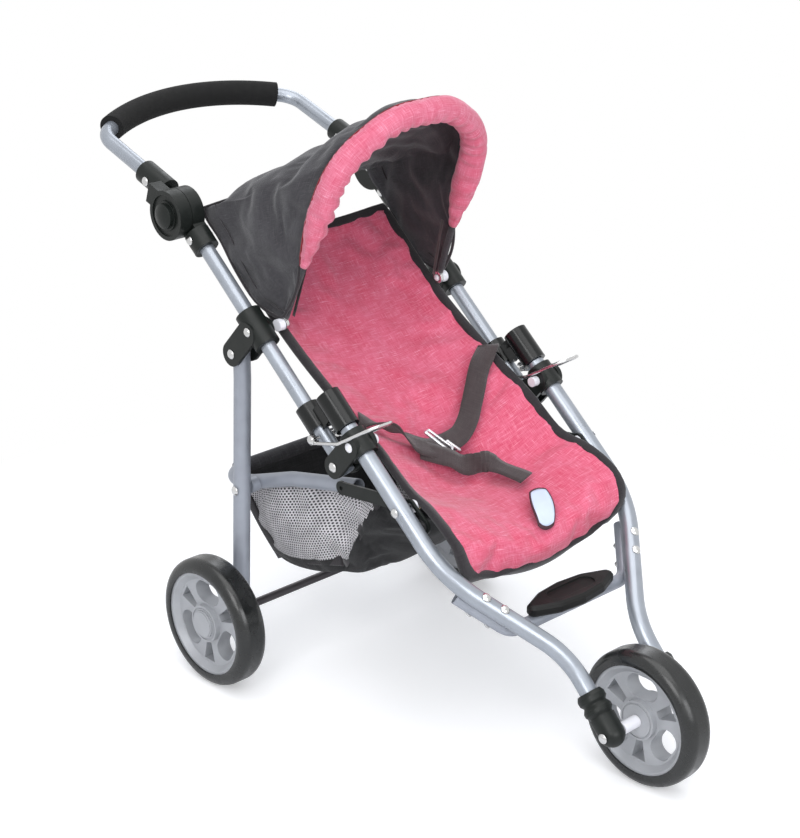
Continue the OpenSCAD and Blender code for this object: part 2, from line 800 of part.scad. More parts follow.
module footrest_tube() {
    color(LEG_GREY) difference() {
        bent_tube(footrest_points, [18, 18], footrest_r);
        both_sides() for (t = footrest_bolt_at) footrest_bolt_place(t)
            cylinder(r = rivet_r + fit_gap, h = 6 * main_r, center = true);
    }
}

module footrest_bolts() {
    long = main_r + footrest_drop + footrest_r + 0.2;
    color(NICKEL) both_sides() for (t = footrest_bolt_at) footrest_bolt_place(t) {
        translate([0, 0, main_r - long]) cylinder(r = rivet_r, h = long + 0.1);
        translate([0, 0, main_r + 0.1]) dome(head_r, head_h);
        translate([0, 0, main_r - long]) rotate([180, 0, 0]) cylinder(r = head_r - 1, h = 2.4);
    }
}

pad_len = 106;
pad_w = 36;
pad_t = 11;
pad_lift = footrest_r + 0.3;

// The oval pad is saddled on the crossbar, with a shallow oval recess on top.
// Round posts under the pad's outline, as [distance from the middle, radius].
pad_spots = [[0, pad_w / 2], [0.22 * pad_len, 0.43 * pad_w], [0.43 * pad_len, 0.19 * pad_w]];
// The softened edge, as [height, setback].
pad_edges = [[3.2, 0], [1.2, 1.4], [0, 3.6]];

module footrest_pad() {
    reach = (pad_len - pad_w) / 2;
    color(BLACK) translate([0, footrest_corner.y - 2, footrest_corner.z + pad_lift])
        difference() {
            hull() for (spot = pad_spots, x = [-spot.x, spot.x], cut = pad_edges)
                translate([x, 0, cut.x])
                    cylinder(r = spot.y - cut.y, h = pad_t - 2 * cut.x, $fn = 32);
            hull() for (x = [-reach * 0.55, reach * 0.55])
                translate([x, 0, pad_t - 1.2]) cylinder(r = pad_w / 4.4, h = 2, $fn = 32);
        }
}

socket_above = 40;
socket_r = 11.5;

// A moulded socket on each front tube's end, ribbed at its mouth, and round at its tip.
module axle_socket(side) {
    color(BLACK) on_side(side) difference() {
        aim(front_axle_at, ankle) union() {
            sphere(r = socket_r);
            cylinder(r = socket_r, h = 17);
            translate([0, 0, 16.9]) cylinder(r = socket_r - 0.9, h = socket_above - 18);
            translate([0, 0, 18.4]) cylinder(r1 = socket_r - 0.9, r2 = socket_r + 1.3, h = 3);
            translate([0, 0, 21.3]) cylinder(r = socket_r + 1.3, h = 3.6);
            translate([0, 0, 24.8]) cylinder(r1 = socket_r + 1.3, r2 = socket_r - 0.9, h = 3.4);
            translate([0, 0, 29]) cylinder(r1 = socket_r - 0.9, r2 = socket_r + 1.1, h = 2.6);
            translate([0, 0, 31.5]) cylinder(r = socket_r + 1.1, h = 4.6);
            translate([0, 0, 36]) cylinder(r1 = socket_r + 1.1, r2 = socket_r - 0.9, h = 3.6);
        }
        aim(front_axle_at, ankle) translate([0, 0, tube_stop - 0.3])
            cylinder(r = main_r + fit_gap, h = socket_above);
        translate(front_axle_at) bar_x(front_axle_d / 2 + fit_gap, -2 * socket_r, 2 * socket_r);
    }
}

module front_axle() {
    tip = fork_half + socket_r + 0.3;
    color(NICKEL) translate([0, front_axle_y, axle_z])
        rivet_x(front_axle_d / 2, -tip, tip, front_axle_d / 2 + 1.6, 2);
}

module hub_spacers() {
    color(WHITE) both_sides() translate([0, front_axle_y, axle_z]) difference() {
        bar_x(stud_r, hub_w / 2 + 0.4, fork_half - socket_r - 0.3);
        bar_x(front_axle_d / 2 + fit_gap, 0, fork_half);
    }
}

module front_rim() {
    color(RIM_GREY) translate([0, front_axle_y, axle_z]) rim(front_axle_d / 2 + run_gap);
}

module front_tyre() {
    color(BLACK) translate([0, front_axle_y, axle_z]) tyre();
}

/* ---- Basket ---- */
front_bolt = side_point(-front_bolt_s, tube_offset);
arm_reach = 134.4;
arm_end_y = basket_pivot.y - arm_reach;
basket_rear_y = basket_pivot.y + 55.6;
basket_points = [
    [basket_half, arm_end_y, basket_pivot.z + 38.7],
    [basket_half, basket_pivot.y - 44.4, basket_pivot.z + 16.7],
    [basket_half, basket_pivot.y + 17.6, basket_pivot.z - 6.6],
    [basket_half + 6, basket_rear_y, basket_pivot.z - 10.8]
];
arm_rise = unit(basket_points[0] - basket_points[1]);
link_pivot = basket_points[0] - arm_rise * 13;
// The front bolt slides along this slot while the frame folds.
slot_run = 20.6;
slot_way = 215.7;
slot_r = rivet_r + 2.3;

module basket_tube() {
    color(LEG_GREY) difference() {
        bent_tube(concat(basket_points, backwards([for (p = basket_points) mirrored(p)])),
            [60, 60, 26, 26, 60, 60], basket_r);
        both_sides() {
            translate([0, basket_pivot.y, basket_pivot.z])
                bar_x(pin_r + run_gap, basket_half - 2 * basket_r, basket_half + 2 * basket_r);
            translate([0, link_pivot.y, link_pivot.z])
                bar_x(rivet_r + fit_gap, basket_half - 2 * basket_r, basket_half + 2 * basket_r);
        }
    }
}

// A flat bar with a slightly wider round eye at each end.
module link_bar(from, to, r, x0, x1) {
    d = to - from;
    for (p = [from, to]) translate([0, p.x, p.y]) bar_x(r, x0, x1);
    translate([x0, from.x, from.y]) rotate([atan2(d.y, d.x), 0, 0])
        translate([0, 0, 0.5 - r]) cube([x1 - x0, norm(d), 2 * r - 1]);
}

// A slotted steel strap joins each basket arm to the front bolt.
module basket_links() {
    from = [link_pivot.y, link_pivot.z];
    to = [front_bolt.y, front_bolt.z];
    end = to + slot_run * [cos(slot_way), sin(slot_way)];
    color(NICKEL) both_sides() {
        difference() {
            union() {
                link_bar(from, to, 6.5, arm_out + 0.2, arm_out + 0.2 + link_t);
                link_bar(to, end, slot_r + 3.1, arm_out + 0.2, arm_out + 0.2 + link_t);
            }
            link_bar(to, end, slot_r, arm_out, arm_out + 2 * link_t);
            translate([0, link_pivot.y, link_pivot.z])
                bar_x(rivet_r + fit_gap, arm_out - 2, arm_out + 2 * link_t);
        }
        translate([0, link_pivot.y, link_pivot.z]) difference() {
            union() {
                bar_x(rivet_r, basket_half - basket_r - 0.2, arm_out + 0.2 + link_t - 1.2);
                translate([basket_half - basket_r - 0.2, 0, 0]) rotate([0, -90, 0])
                    dome(head_r, head_h);
            }
            bar_x(rivet_r / 3, arm_out, arm_out + 2 * link_t);
        }
    }
}

bag_top_half = basket_half - basket_r - side_gap - head_h - 1;
bag_low_half = bag_top_half - 16;
// Rim and floor of the bag in the side view, from back to front, as [y, z] from the basket pivot.
bag_rim = [[40, -9], [0, 0], [-62, 18], [-132, 34], [-186, 14]];
bag_floor = [[6, -6], [-94, -6]];

// The bag's outer form, or with a shrink its inside, which is open at the top.
module bag_form(shrink, lift) {
    hull() {
        for (p = bag_rim) translate([0, basket_pivot.y + p.x - shrink * sign(p.x + 60),
            basket_pivot.z + p.y + lift])
            cube([2 * (bag_top_half - shrink), 1, 1], center = true);
        for (p = bag_floor) translate([0, basket_pivot.y + p.x - shrink * sign(p.x + 60),
            basket_pivot.z + p.y - bag_depth + shrink])
            cube([2 * (bag_low_half - shrink), 1, 1], center = true);
    }
}

module basket_bag() {
    color(CHARCOAL) difference() {
        bag_form(0, 0);
        bag_form(bag_t, 3);
    }
}

/* ---- Canopy ---- */
canopy_pivot = side_point(stud_s, stud_h);
hoop_r = 2;
hoop_eye_x = track_half - stud_in - side_gap - eye_t;
roll_r = roll_d / 2;
roll_from = 64;
hoop_knee = 0.825;

// A point of the hoop's own plane: x across, t up the plane, and d towards its front.
function hoop_point(x, t, d = 0) = [
    x,
    canopy_pivot.y - t * sin(hoop_lean) - d * cos(hoop_lean),
    canopy_pivot.z + t * cos(hoop_lean) - d * sin(hoop_lean)
];
hoop_side = [
    hoop_point(hoop_eye_x + eye_t / 2, 4), hoop_point(hoop_half + 2, hoop_knee * hoop_rise),
    hoop_point(0.39 * hoop_half, hoop_rise)
];
hoop_points = concat(hoop_side, backwards([for (p = hoop_side) mirrored(p)]));
hoop_bends = [62, 62, 62, 62];

module canopy_hoop() {
    color(NICKEL) difference() {
        union() {
            bent_bar(hoop_points, hoop_bends, hoop_r);
            both_sides() translate(hoop_point(hoop_eye_x, 0)) bar_x(eye_r, 0, eye_t);
        }
        both_sides() translate(hoop_point(hoop_eye_x, 0))
            bar_x(stud_pin_r + run_gap, -eye_t, 2 * eye_t);
    }
}

// The padded roll starts part of the way up the hoop on each side.
roll_share = roll_from / (hoop_knee * hoop_rise);
roll_start = hoop_side[0] + (hoop_side[1] - hoop_side[0]) * roll_share;
roll_points = concat([roll_start, hoop_side[1], hoop_side[2]],
    [mirrored(hoop_side[2]), mirrored(hoop_side[1]), mirrored(roll_start)]);

module canopy_roll() {
    color(PINK) difference() {
        bent_bar(roll_points, hoop_bends, roll_r);
        bent_bar(hoop_points, hoop_bends, hoop_r + 0.3);
    }
}

hood_steps = 24;
hood_rows = 5;
hood_half = 101;
hood_tip = [hood_half, canopy_pivot.y - 6, canopy_pivot.z + 11];
hood_corner = [hood_half, canopy_pivot.y + 104, canopy_pivot.z + 85];
hood_base = [hood_tip, hood_corner, mirrored(hood_corner), mirrored(hood_tip)];
// The hood's heart, towards which its cloth gets its thickness.
hood_heart = [0, canopy_pivot.y + 20, canopy_pivot.z + 60];

// A point part of the way along the three straight edges of the hood's base.
side_share = 0.25;
function base_step(t) = t < side_share ? t / side_share
    : t > 1 - side_share ? 3 - (1 - t) / side_share : 1 + (t - side_share) / (1 - 2 * side_share);
function base_point(t) = let (b = base_step(t), k = min(floor(b), 2), f = b - k)
    hood_base[k] + (hood_base[k + 1] - hood_base[k]) * f;
// A point of the arch behind the roll, from its left foot over the top to its right foot.
function arch_point(t) = let (a = 180 * t, c = cos(a), w = sin(a))
    hoop_point((hoop_half + roll_r * 0.6) * sign(c) * pow(abs(c), 0.55),
        roll_from + (hoop_rise + roll_r * 0.5 - roll_from) * pow(w, 0.75), -roll_r - 2.5);
function hood_point(i, j) = let (t = i / hood_steps, v = j / hood_rows,
        p = arch_point(t) * (1 - v) + base_point(t) * v)
    p + unit(p - hood_heart) * (-5) * sin(180 * v) * sin(180 * t);
function hood_inner(p) = p + unit(hood_heart - p) * canopy_t;

module canopy_hood() {
    n = hood_steps + 1;
    m = hood_rows + 1;
    outer = [for (j = [0:hood_rows]) for (i = [0:hood_steps]) hood_point(i, j)];
    points = concat(outer, [for (p = outer) hood_inner(p)]);
    k = n * m;
    skins = [for (j = [0:hood_rows - 1]) for (i = [0:hood_steps - 1]) let (a = j * n + i) each [
        [a, a + 1, a + n], [a + 1, a + n + 1, a + n],
        [k + a, k + a + n, k + a + 1], [k + a + 1, k + a + n, k + a + n + 1]
    ]];
    rims = [for (i = [0:hood_steps - 1]) let (a = hood_rows * n + i) each [
        [i + 1, i, k + i + 1], [i, k + i, k + i + 1],
        [a, a + 1, k + a], [a + 1, k + a + 1, k + a]
    ]];
    ends = [for (j = [0:hood_rows - 1]) let (a = j * n, b = j * n + hood_steps) each [
        [a, a + n, k + a], [a + n, k + a + n, k + a],
        [b + n, b, k + b], [b + n, k + b, k + b + n]
    ]];
    color(CHARCOAL) polyhedron(points, concat(skins, rims, ends), convexity = 4);
}

/* ---- Seat ---- */
// Side edge and sagging middle of the sling, from the top edge down to the apron's hem,
// each as [y, z] from the fold pivot.
seat_edge = [
    [174.6, 153.1], [104.6, 92.1], [40.6, 50.1], [-20.4, 16.1], [-59.4, -9.9], [-92.4, -17.9],
    [-123.4, -33.9], [-134.4, -52.9], [-130.4, -75.9], [-119.4, -89.9]
];
seat_sag = [
    [167.6, 140.1], [94.6, 77.1], [30.6, 30.1], [-15.4, -5.9], [-45.4, -31.9], [-87.4, -35.9],
    [-123.4, -43.9], [-136.4, -61.9], [-134.4, -81.9], [-123.4, -94.9]
];
seat_cols = 8;

function seat_width(i) = i < 8 ? seat_half : i == 8 ? seat_half * 0.93 : seat_half * 0.74;
function seat_point(i, c) = let (k = c * c, p = seat_sag[i] * (1 - k) + seat_edge[i] * k)
    [c * seat_width(i), fold_y + p.x, fold_z + p.y];
// The direction out of the sling's back, in the side view.
function seat_back(i) = let (a = seat_sag[max(i - 1, 0)], b = seat_sag[min(i + 1, 9)], d = b - a)
    unit([0, -d.y, d.x]);

module seat_sling() {
    rows = len(seat_edge);
    n = seat_cols + 1;
    front = [for (i = [0:rows - 1]) for (c = [0:seat_cols]) seat_point(i, 2 * c / seat_cols - 1)];
    rear = [for (i = [0:rows - 1]) for (c = [0:seat_cols])
        seat_point(i, 2 * c / seat_cols - 1) + seat_back(i) * seat_t];
    k = rows * n;
    skins = [for (i = [0:rows - 2]) for (c = [0:seat_cols - 1]) let (a = i * n + c) each [
        [a, a + 1, a + n], [a + 1, a + n + 1, a + n],
        [k + a, k + a + n, k + a + 1], [k + a + 1, k + a + n, k + a + n + 1]
    ]];
    hems = [for (c = [0:seat_cols - 1]) let (a = (rows - 1) * n + c) each [
        [c + 1, c, k + c + 1], [c, k + c, k + c + 1],
        [a, a + 1, k + a], [a + 1, k + a + 1, k + a]
    ]];
    edges = [for (i = [0:rows - 2]) let (a = i * n, b = i * n + seat_cols) each [
        [a, a + n, k + a], [a + n, k + a + n, k + a],
        [b + n, b, k + b], [b + n, k + b, k + b + n]
    ]];
    color(PINK) polyhedron(concat(front, rear), concat(skins, hems, edges), convexity = 4);
}

strap_w = 20;
strap_t = 1.4;
buckle_at = [-21, fold_y - 17, fold_z + 3];
strap_start_left = [84, fold_y + 34, fold_z + 56];
strap_start_right = [-82, fold_y + 2, fold_z + 35];
strap_tail = [24, fold_y - 80, fold_z - 26];

// A flat band between two points, its width held level in the side view.
module band(from, to) {
    aim(from, to) translate([0, 0, norm(to - from) / 2])
        cube([strap_t, strap_w, norm(to - from)], center = true);
}

module harness() {
    color(WEBBING) union() {
        band(strap_start_left, buckle_at);
        band(strap_start_right, buckle_at);
        band(buckle_at, strap_tail);
    }
}

rear_leg(LEFT);  // rear_leg_left
rear_leg(RIGHT);  // rear_leg_right
rear_axle();
leg_pins();
basket_pins();
basket_spacers();
rear_rim(LEFT);  // rear_rim_left
rear_rim(RIGHT);  // rear_rim_right
rear_tyre(LEFT);  // rear_tyre_left
rear_tyre(RIGHT);  // rear_tyre_right
hub_cap(LEFT);  // hub_cap_left
hub_cap(RIGHT);  // hub_cap_right
upper_tube(LEFT);  // upper_tube_left
upper_tube(RIGHT);  // upper_tube_right
upper_bracket(LEFT);  // upper_bracket_left
upper_bracket(RIGHT);  // upper_bracket_right
upper_rivets();
canopy_studs();
inner_joint(LEFT);  // inner_joint_left
inner_joint(RIGHT);  // inner_joint_right
joint_bolts();
bail_pins();
outer_joint(LEFT);  // outer_joint_left
outer_joint(RIGHT);  // outer_joint_right
handle_tube();
handle_grip();
handle_rivets();
joint_button(LEFT);  // joint_button_left
joint_button(RIGHT);  // joint_button_right
lock_slider(LEFT);  // lock_slider_left
lock_slider(RIGHT);  // lock_slider_right
bail(LEFT);  // bail_left
bail(RIGHT);  // bail_right
front_tube(LEFT);  // front_tube_left
front_tube(RIGHT);  // front_tube_right
lower_bracket(LEFT);  // lower_bracket_left
lower_bracket(RIGHT);  // lower_bracket_right
tube_noses();
fold_pins();
lower_studs();
front_bolts();
bolt_spacers();
bolt_nuts();
footrest_tube();
footrest_bolts();
footrest_pad();
axle_socket(LEFT);  // axle_socket_left
axle_socket(RIGHT);  // axle_socket_right
front_axle();
hub_spacers();
front_rim();
front_tyre();
basket_tube();
basket_links();
basket_bag();
canopy_hoop();
canopy_roll();
canopy_hood();
seat_sling();
harness();
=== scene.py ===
"""Looks of the doll stroller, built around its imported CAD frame. Metres, +Z up, -Y forwards."""

import json
import math
import random

import bmesh
import bpy
from mathutils import Matrix, Vector, noise


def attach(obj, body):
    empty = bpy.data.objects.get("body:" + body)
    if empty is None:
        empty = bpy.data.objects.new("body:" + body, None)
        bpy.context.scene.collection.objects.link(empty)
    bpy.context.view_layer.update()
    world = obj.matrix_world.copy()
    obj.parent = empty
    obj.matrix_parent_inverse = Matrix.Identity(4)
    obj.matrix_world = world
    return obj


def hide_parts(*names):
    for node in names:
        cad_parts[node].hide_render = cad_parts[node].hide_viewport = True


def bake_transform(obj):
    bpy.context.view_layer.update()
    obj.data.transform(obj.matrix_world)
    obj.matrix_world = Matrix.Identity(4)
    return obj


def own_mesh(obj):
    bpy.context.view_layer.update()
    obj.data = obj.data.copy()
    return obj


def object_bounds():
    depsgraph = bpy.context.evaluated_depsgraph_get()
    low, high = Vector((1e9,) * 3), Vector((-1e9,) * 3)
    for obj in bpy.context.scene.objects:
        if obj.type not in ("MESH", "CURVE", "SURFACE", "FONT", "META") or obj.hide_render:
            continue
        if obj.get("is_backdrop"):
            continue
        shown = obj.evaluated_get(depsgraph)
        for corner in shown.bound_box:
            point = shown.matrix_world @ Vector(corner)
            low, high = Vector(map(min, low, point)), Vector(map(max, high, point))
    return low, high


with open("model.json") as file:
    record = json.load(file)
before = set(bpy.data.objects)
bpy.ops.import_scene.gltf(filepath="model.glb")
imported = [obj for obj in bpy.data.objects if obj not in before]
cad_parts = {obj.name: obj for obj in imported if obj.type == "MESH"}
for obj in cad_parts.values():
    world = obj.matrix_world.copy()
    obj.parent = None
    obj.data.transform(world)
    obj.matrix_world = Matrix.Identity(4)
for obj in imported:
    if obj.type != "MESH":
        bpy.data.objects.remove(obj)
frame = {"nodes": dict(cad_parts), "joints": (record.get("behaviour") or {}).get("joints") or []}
scene = bpy.context.scene
nodes = frame["nodes"]

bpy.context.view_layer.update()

MM = 0.001
TRACK = 116.8
anchors = {j["name"]: Vector(j["pos_m"]) for j in frame["joints"] if j.get("pos_m")}
FOLD = (anchors["front_fold"].y / MM, anchors["front_fold"].z / MM)
SLOPE = math.radians(40.1)


def mm(x, y, z):
    """A point given in millimetres."""
    return Vector((x, y, z)) * MM


def side(s, h, x):
    """A point by its place up the side tube (s) and square to it (h), in millimetres."""
    c, w = math.cos(SLOPE), math.sin(SLOPE)
    return mm(x, FOLD[0] + s * c - h * w, FOLD[1] + s * w + h * c)


# ---------------------------------------------------------------- shader helpers

class Tree:
    """Short ways to add nodes to a node tree."""

    def __init__(self, tree):
        self.t = tree

    def add(self, kind, **props):
        n = self.t.nodes.new(kind)
        for k, v in props.items():
            setattr(n, k, v)
        return n

    def put(self, socket, value):
        if value is None:
            return
        if isinstance(value, bpy.types.NodeSocket):
            self.t.links.new(value, socket)
        elif isinstance(value, (tuple, list)) and len(value) == 3 and socket.type == "RGBA":
            socket.default_value = (*value, 1.0)
        else:
            socket.default_value = value

    def math(self, op, a, b=None, c=None, clamp=False):
        n = self.add("ShaderNodeMath", operation=op, use_clamp=clamp)
        for i, v in enumerate((a, b, c)):
            self.put(n.inputs[i], v)
        return n.outputs[0]

    def vec(self, op, a, b=None):
        n = self.add("ShaderNodeVectorMath", operation=op)
        self.put(n.inputs[0], a)
        if b is not None:
            self.put(n.inputs[1], b)
        return n.outputs["Value"] if op in ("LENGTH", "DISTANCE") else n.outputs[0]

    def noise(self, vector, scale, detail=2.0, rough=0.5):
        n = self.add("ShaderNodeTexNoise")
        self.put(n.inputs["Vector"], vector)
        self.put(n.inputs["Scale"], scale)
        self.put(n.inputs["Detail"], detail)
        self.put(n.inputs["Roughness"], rough)
        return n.outputs[0]

    def span(self, value, a, b, c=0.0, d=1.0):
        n = self.add("ShaderNodeMapRange")
        n.inputs[1].default_value = a
        n.inputs[2].default_value = b
        n.inputs[3].default_value = c
        n.inputs[4].default_value = d
        self.put(n.inputs[0], value)
        return n.outputs[0]

    def mix(self, fac, a, b, mode="MIX"):
        n = self.add("ShaderNodeMix", data_type="RGBA", blend_type=mode)
        self.put(n.inputs["Factor"], fac)
        self.put(n.inputs[6], a)
        self.put(n.inputs[7], b)
        return n.outputs[2]

    def split(self, vector):
        n = self.add("ShaderNodeSeparateXYZ")
        self.put(n.inputs[0], vector)
        return n.outputs

    def join(self, x, y, z=0.0):
        n = self.add("ShaderNodeCombineXYZ")
        for i, v in enumerate((x, y, z)):
            self.put(n.inputs[i], v)
        return n.outputs[0]

    def bump(self, height, strength, distance, normal=None):
        n = self.add("ShaderNodeBump")
        self.put(n.inputs["Height"], height)
        self.put(n.inputs["Strength"], strength)
        self.put(n.inputs["Distance"], distance)
        self.put(n.inputs["Normal"], normal)
        return n.outputs[0]


def group(name, inputs, outputs, fill):
    """A shared node group: fill(tree, input sockets) returns the output sockets in order."""
    g = bpy.data.node_groups.new(name, "ShaderNodeTree")
    for label, kind, default in inputs:
        s = g.interface.new_socket(label, in_out="INPUT", socket_type=kind)
        if default is not None:
            s.default_value = default
    for label, kind in outputs:
        g.interface.new_socket(label, in_out="OUTPUT", socket_type=kind)
    t = Tree(g)
    a = t.add("NodeGroupInput")
    b = t.add("NodeGroupOutput")
    for i, socket in enumerate(fill(t, a.outputs)):
        g.links.new(socket, b.inputs[i])
    return g


def use(t, g, **values):
    n = t.add("ShaderNodeGroup", node_tree=g)
    for k, v in values.items():
        t.put(n.inputs[k.replace("_", " ")], v)
    return n.outputs


F, VEC = "NodeSocketFloat", "NodeSocketVector"


BROAD_SCALE = 0.06
FINE_SHARE = 0.7


def fill_grain(t, i):
    """Fine grain over broad, slow clouds that also vary the gloss."""
    fine = t.noise(i["Vector"], i["Scale"], 3.0, 0.6)
    broad = t.noise(i["Vector"], t.math("MULTIPLY", i["Scale"], BROAD_SCALE), 2.0, 0.5)
    height = t.math("ADD", t.math("MULTIPLY", fine, FINE_SHARE), t.math("MULTIPLY", broad, 1 - FINE_SHARE))
    return height, broad


GRAIN = group("Grain", [("Vector", VEC, None), ("Scale", F, 1200.0)],
              [("Height", F), ("Broad", F)], fill_grain)


SLUB_LENGTH = 0.055      # how slowly a thread changes along its length, against across it
WEAVE_FREQUENCY = 4.2    # turns of the over-and-under wave for each thread
CLOUD_SCALE = 34.0


def fill_weave(t, i):
    """Uneven threads in both directions, on a UV in metres."""
    u, v, _ = t.split(i["Vector"])
    k = i["Threads"]
    along, across = t.math("MULTIPLY", k, SLUB_LENGTH), k
    warp = t.noise(t.join(t.math("MULTIPLY", u, across), t.math("MULTIPLY", v, along)), 1.0, 2.0, 0.7)
    weft = t.noise(t.join(t.math("MULTIPLY", u, along), t.math("MULTIPLY", v, across), 7.3), 1.0, 2.0, 0.7)
    cloud = t.noise(i["Vector"], CLOUD_SCALE, 3.0, 0.6)
    both = t.math("ADD", t.math("MULTIPLY", warp, 0.5), t.math("MULTIPLY", weft, 0.5))
    streak = t.span(t.math("MAXIMUM", warp, weft), 0.60, 0.78)
    base = t.span(t.math("ADD", both, t.math("MULTIPLY", t.math("SUBTRACT", cloud, 0.5), 0.35)), 0.36, 0.64)
    a = t.math("SINE", t.math("MULTIPLY", u, t.math("MULTIPLY", k, WEAVE_FREQUENCY)))
    b = t.math("SINE", t.math("MULTIPLY", v, t.math("MULTIPLY", k, WEAVE_FREQUENCY)))
    height = t.math("ADD", t.math("MULTIPLY", t.math("MULTIPLY", a, b), 0.25), both)
    return base, streak, height


WEAVE = group("Weave", [("Vector", VEC, None), ("Threads", F, 900.0)],
              [("Tone", F), ("Flecks", F), ("Height", F)], fill_weave)


ROW_GAP = 1.6            # the net's rows, against its pitch
HOLE_EDGE = (0.27, 0.33)


def fill_holes(t, i):
    """1 in the net's threads and 0 in its round holes, which lie in staggered rows."""
    u, v, _ = t.split(i["Vector"])
    a = i["Pitch"]
    su = t.math("DIVIDE", u, a)
    sv = t.math("DIVIDE", v, t.math("MULTIPLY", a, ROW_GAP))
    near = []
    for off in (0.0, 0.5):
        fu = t.math("SUBTRACT", t.math("FRACT", t.math("ADD", su, off + 50.0)), 0.5)
        fv = t.math("SUBTRACT", t.math("FRACT", t.math("ADD", sv, off + 50.0)), 0.5)
        fv = t.math("MULTIPLY", fv, ROW_GAP)
        near.append(t.vec("LENGTH", t.join(fu, fv)))
    d = t.math("MINIMUM", near[0], near[1])
    return t.span(d, *HOLE_EDGE), d


NET = group("Net", [("Vector", VEC, None), ("Pitch", F, 0.003)], [("Thread", F), ("Distance", F)], fill_holes)


def material(name, build):
    """A material whose build(tree, Principled shader, output) adds the rest."""
    m = bpy.data.materials.new(name)
    m.use_nodes = True
    t = Tree(m.node_tree)
    m.node_tree.nodes.clear()
    out = t.add("ShaderNodeOutputMaterial")
    shader = t.add("ShaderNodeBsdfPrincipled")
    m.node_tree.links.new(shader.outputs[0], out.inputs[0])
    build(t, shader, out)
    return m


CLOUDS = (0.3, 0.7)      # the range that broad noise fills
HARD_SHADES = (0.94, 1.06)
HARD_GRAIN_DEPTH = 0.0002
COAT_ROUGHNESS = 0.12


def hard(name, color, rough, metallic=0.0, grain=900.0, bump=0.15, spread=0.08, edge=0.0005,
         coat=0.0, shine=0.5):
    """A hard finish: small grain, uneven gloss and softened edges."""
    def build(t, s, _out):
        co = t.add("ShaderNodeTexCoord").outputs["Object"]
        g = use(t, GRAIN, Vector=co, Scale=grain)
        shade = t.span(g["Broad"], *CLOUDS, *HARD_SHADES)
        t.put(s.inputs["Base Color"], t.mix(1.0, tuple(color), t.join(shade, shade, shade), "MULTIPLY"))
        t.put(s.inputs["Roughness"], t.span(g["Broad"], *CLOUDS, max(rough - spread, 0.02), rough + spread))
        t.put(s.inputs["Metallic"], metallic)
        t.put(s.inputs["Specular IOR Level"], shine)
        t.put(s.inputs["Coat Weight"], coat)
        t.put(s.inputs["Coat Roughness"], COAT_ROUGHNESS)
        round_edge = t.add("ShaderNodeBevel", samples=4)
        round_edge.inputs["Radius"].default_value = edge
        t.put(s.inputs["Normal"], t.bump(g["Height"], bump, HARD_GRAIN_DEPTH, round_edge.outputs[0]))
    return material(name, build)


FINE_WEAVE = 1500.0
WEAVE_DEPTH = 0.0004


def cloth(name, dark, mid, light, threads=FINE_WEAVE, flecks=0.6, rough=0.85, sheen=0.25, bump=0.35,
          back=None):
    """A melange weave, which can be darker on its back faces."""
    def build(t, s, _out):
        uv = t.add("ShaderNodeUVMap", uv_map="cloth").outputs[0]
        w = use(t, WEAVE, Vector=uv, Threads=threads)
        tone = t.mix(w["Tone"], tuple(dark), tuple(mid))
        tone = t.mix(t.math("MULTIPLY", w["Flecks"], flecks), tone, tuple(light))
        if back is not None:
            facing = t.add("ShaderNodeNewGeometry").outputs["Backfacing"]
            tone = t.mix(facing, tone, tuple(back))
        t.put(s.inputs["Base Color"], tone)
        t.put(s.inputs["Roughness"], rough)
        t.put(s.inputs["Sheen Weight"], sheen)
        t.put(s.inputs["Sheen Roughness"], 0.5)
        t.put(s.inputs["Specular IOR Level"], 0.2)
        t.put(s.inputs["Normal"], t.bump(w["Height"], bump, WEAVE_DEPTH))
    return material(name, build)


TUBE = hard("tube paint", (0.325, 0.352, 0.395), 0.32, 0.60, bump=0.04, spread=0.05, coat=0.08)
LEG = hard("leg paint", (0.30, 0.32, 0.365), 0.44, 0.35, bump=0.06, spread=0.05, shine=0.4)
BRACKET = hard("bracket plastic", (0.008, 0.010, 0.009), 0.40, grain=1600.0, bump=0.2, shine=0.28)
SLIDER = hard("slider plastic", (0.004, 0.005, 0.005), 0.20, bump=0.04, spread=0.05, shine=0.35)
NICKEL = hard("nickel", (0.62, 0.62, 0.62), 0.22, 1.0, bump=0.03, spread=0.06)
AXLE = hard("axle", (0.055, 0.05, 0.055), 0.4, 0.4, bump=0.08)
WHITE = hard("white nylon", (0.74, 0.74, 0.78), 0.4, bump=0.05)
BRASS = hard("brass", (0.55, 0.38, 0.16), 0.3, 1.0, bump=0.05)
RIM = hard("rim plastic", (0.37, 0.38, 0.40), 0.45, 0.2, bump=0.2, shine=0.4)
TYRE = hard("tyre plastic", (0.013, 0.014, 0.014), 0.27, grain=1500.0, bump=0.12, spread=0.1)
FOAM = hard("foam", (0.009, 0.009, 0.009), 0.9, grain=2600.0, bump=0.8, spread=0.05, edge=0.0015, shine=0.3)
PAD = hard("pad plastic", (0.007, 0.007, 0.007), 0.45, bump=0.1, shine=0.22)
BUCKLE = hard("buckle metal", (0.72, 0.72, 0.75), 0.28, 0.8, bump=0.05)
PINK = cloth("pink weave", (0.55, 0.060, 0.115), (0.68, 0.160, 0.255), (0.80, 0.46, 0.54),
             back=(0.02, 0.019, 0.02))
ROLL = cloth("pink roll weave", (0.52, 0.080, 0.142), (0.63, 0.185, 0.272), (0.76, 0.46, 0.54))
GREY = cloth("charcoal weave", (0.026, 0.025, 0.028), (0.054, 0.052, 0.057), (0.12, 0.115, 0.125),
             flecks=0.4)
DARK = cloth("basket cloth", (0.011, 0.011, 0.012), (0.024, 0.024, 0.025), (0.055, 0.055, 0.058),
             flecks=0.35, sheen=0.1)
BIND = cloth("binding", (0.015, 0.013, 0.015), (0.030, 0.026, 0.029), (0.05, 0.045, 0.05),
             threads=1900.0, flecks=0.3)
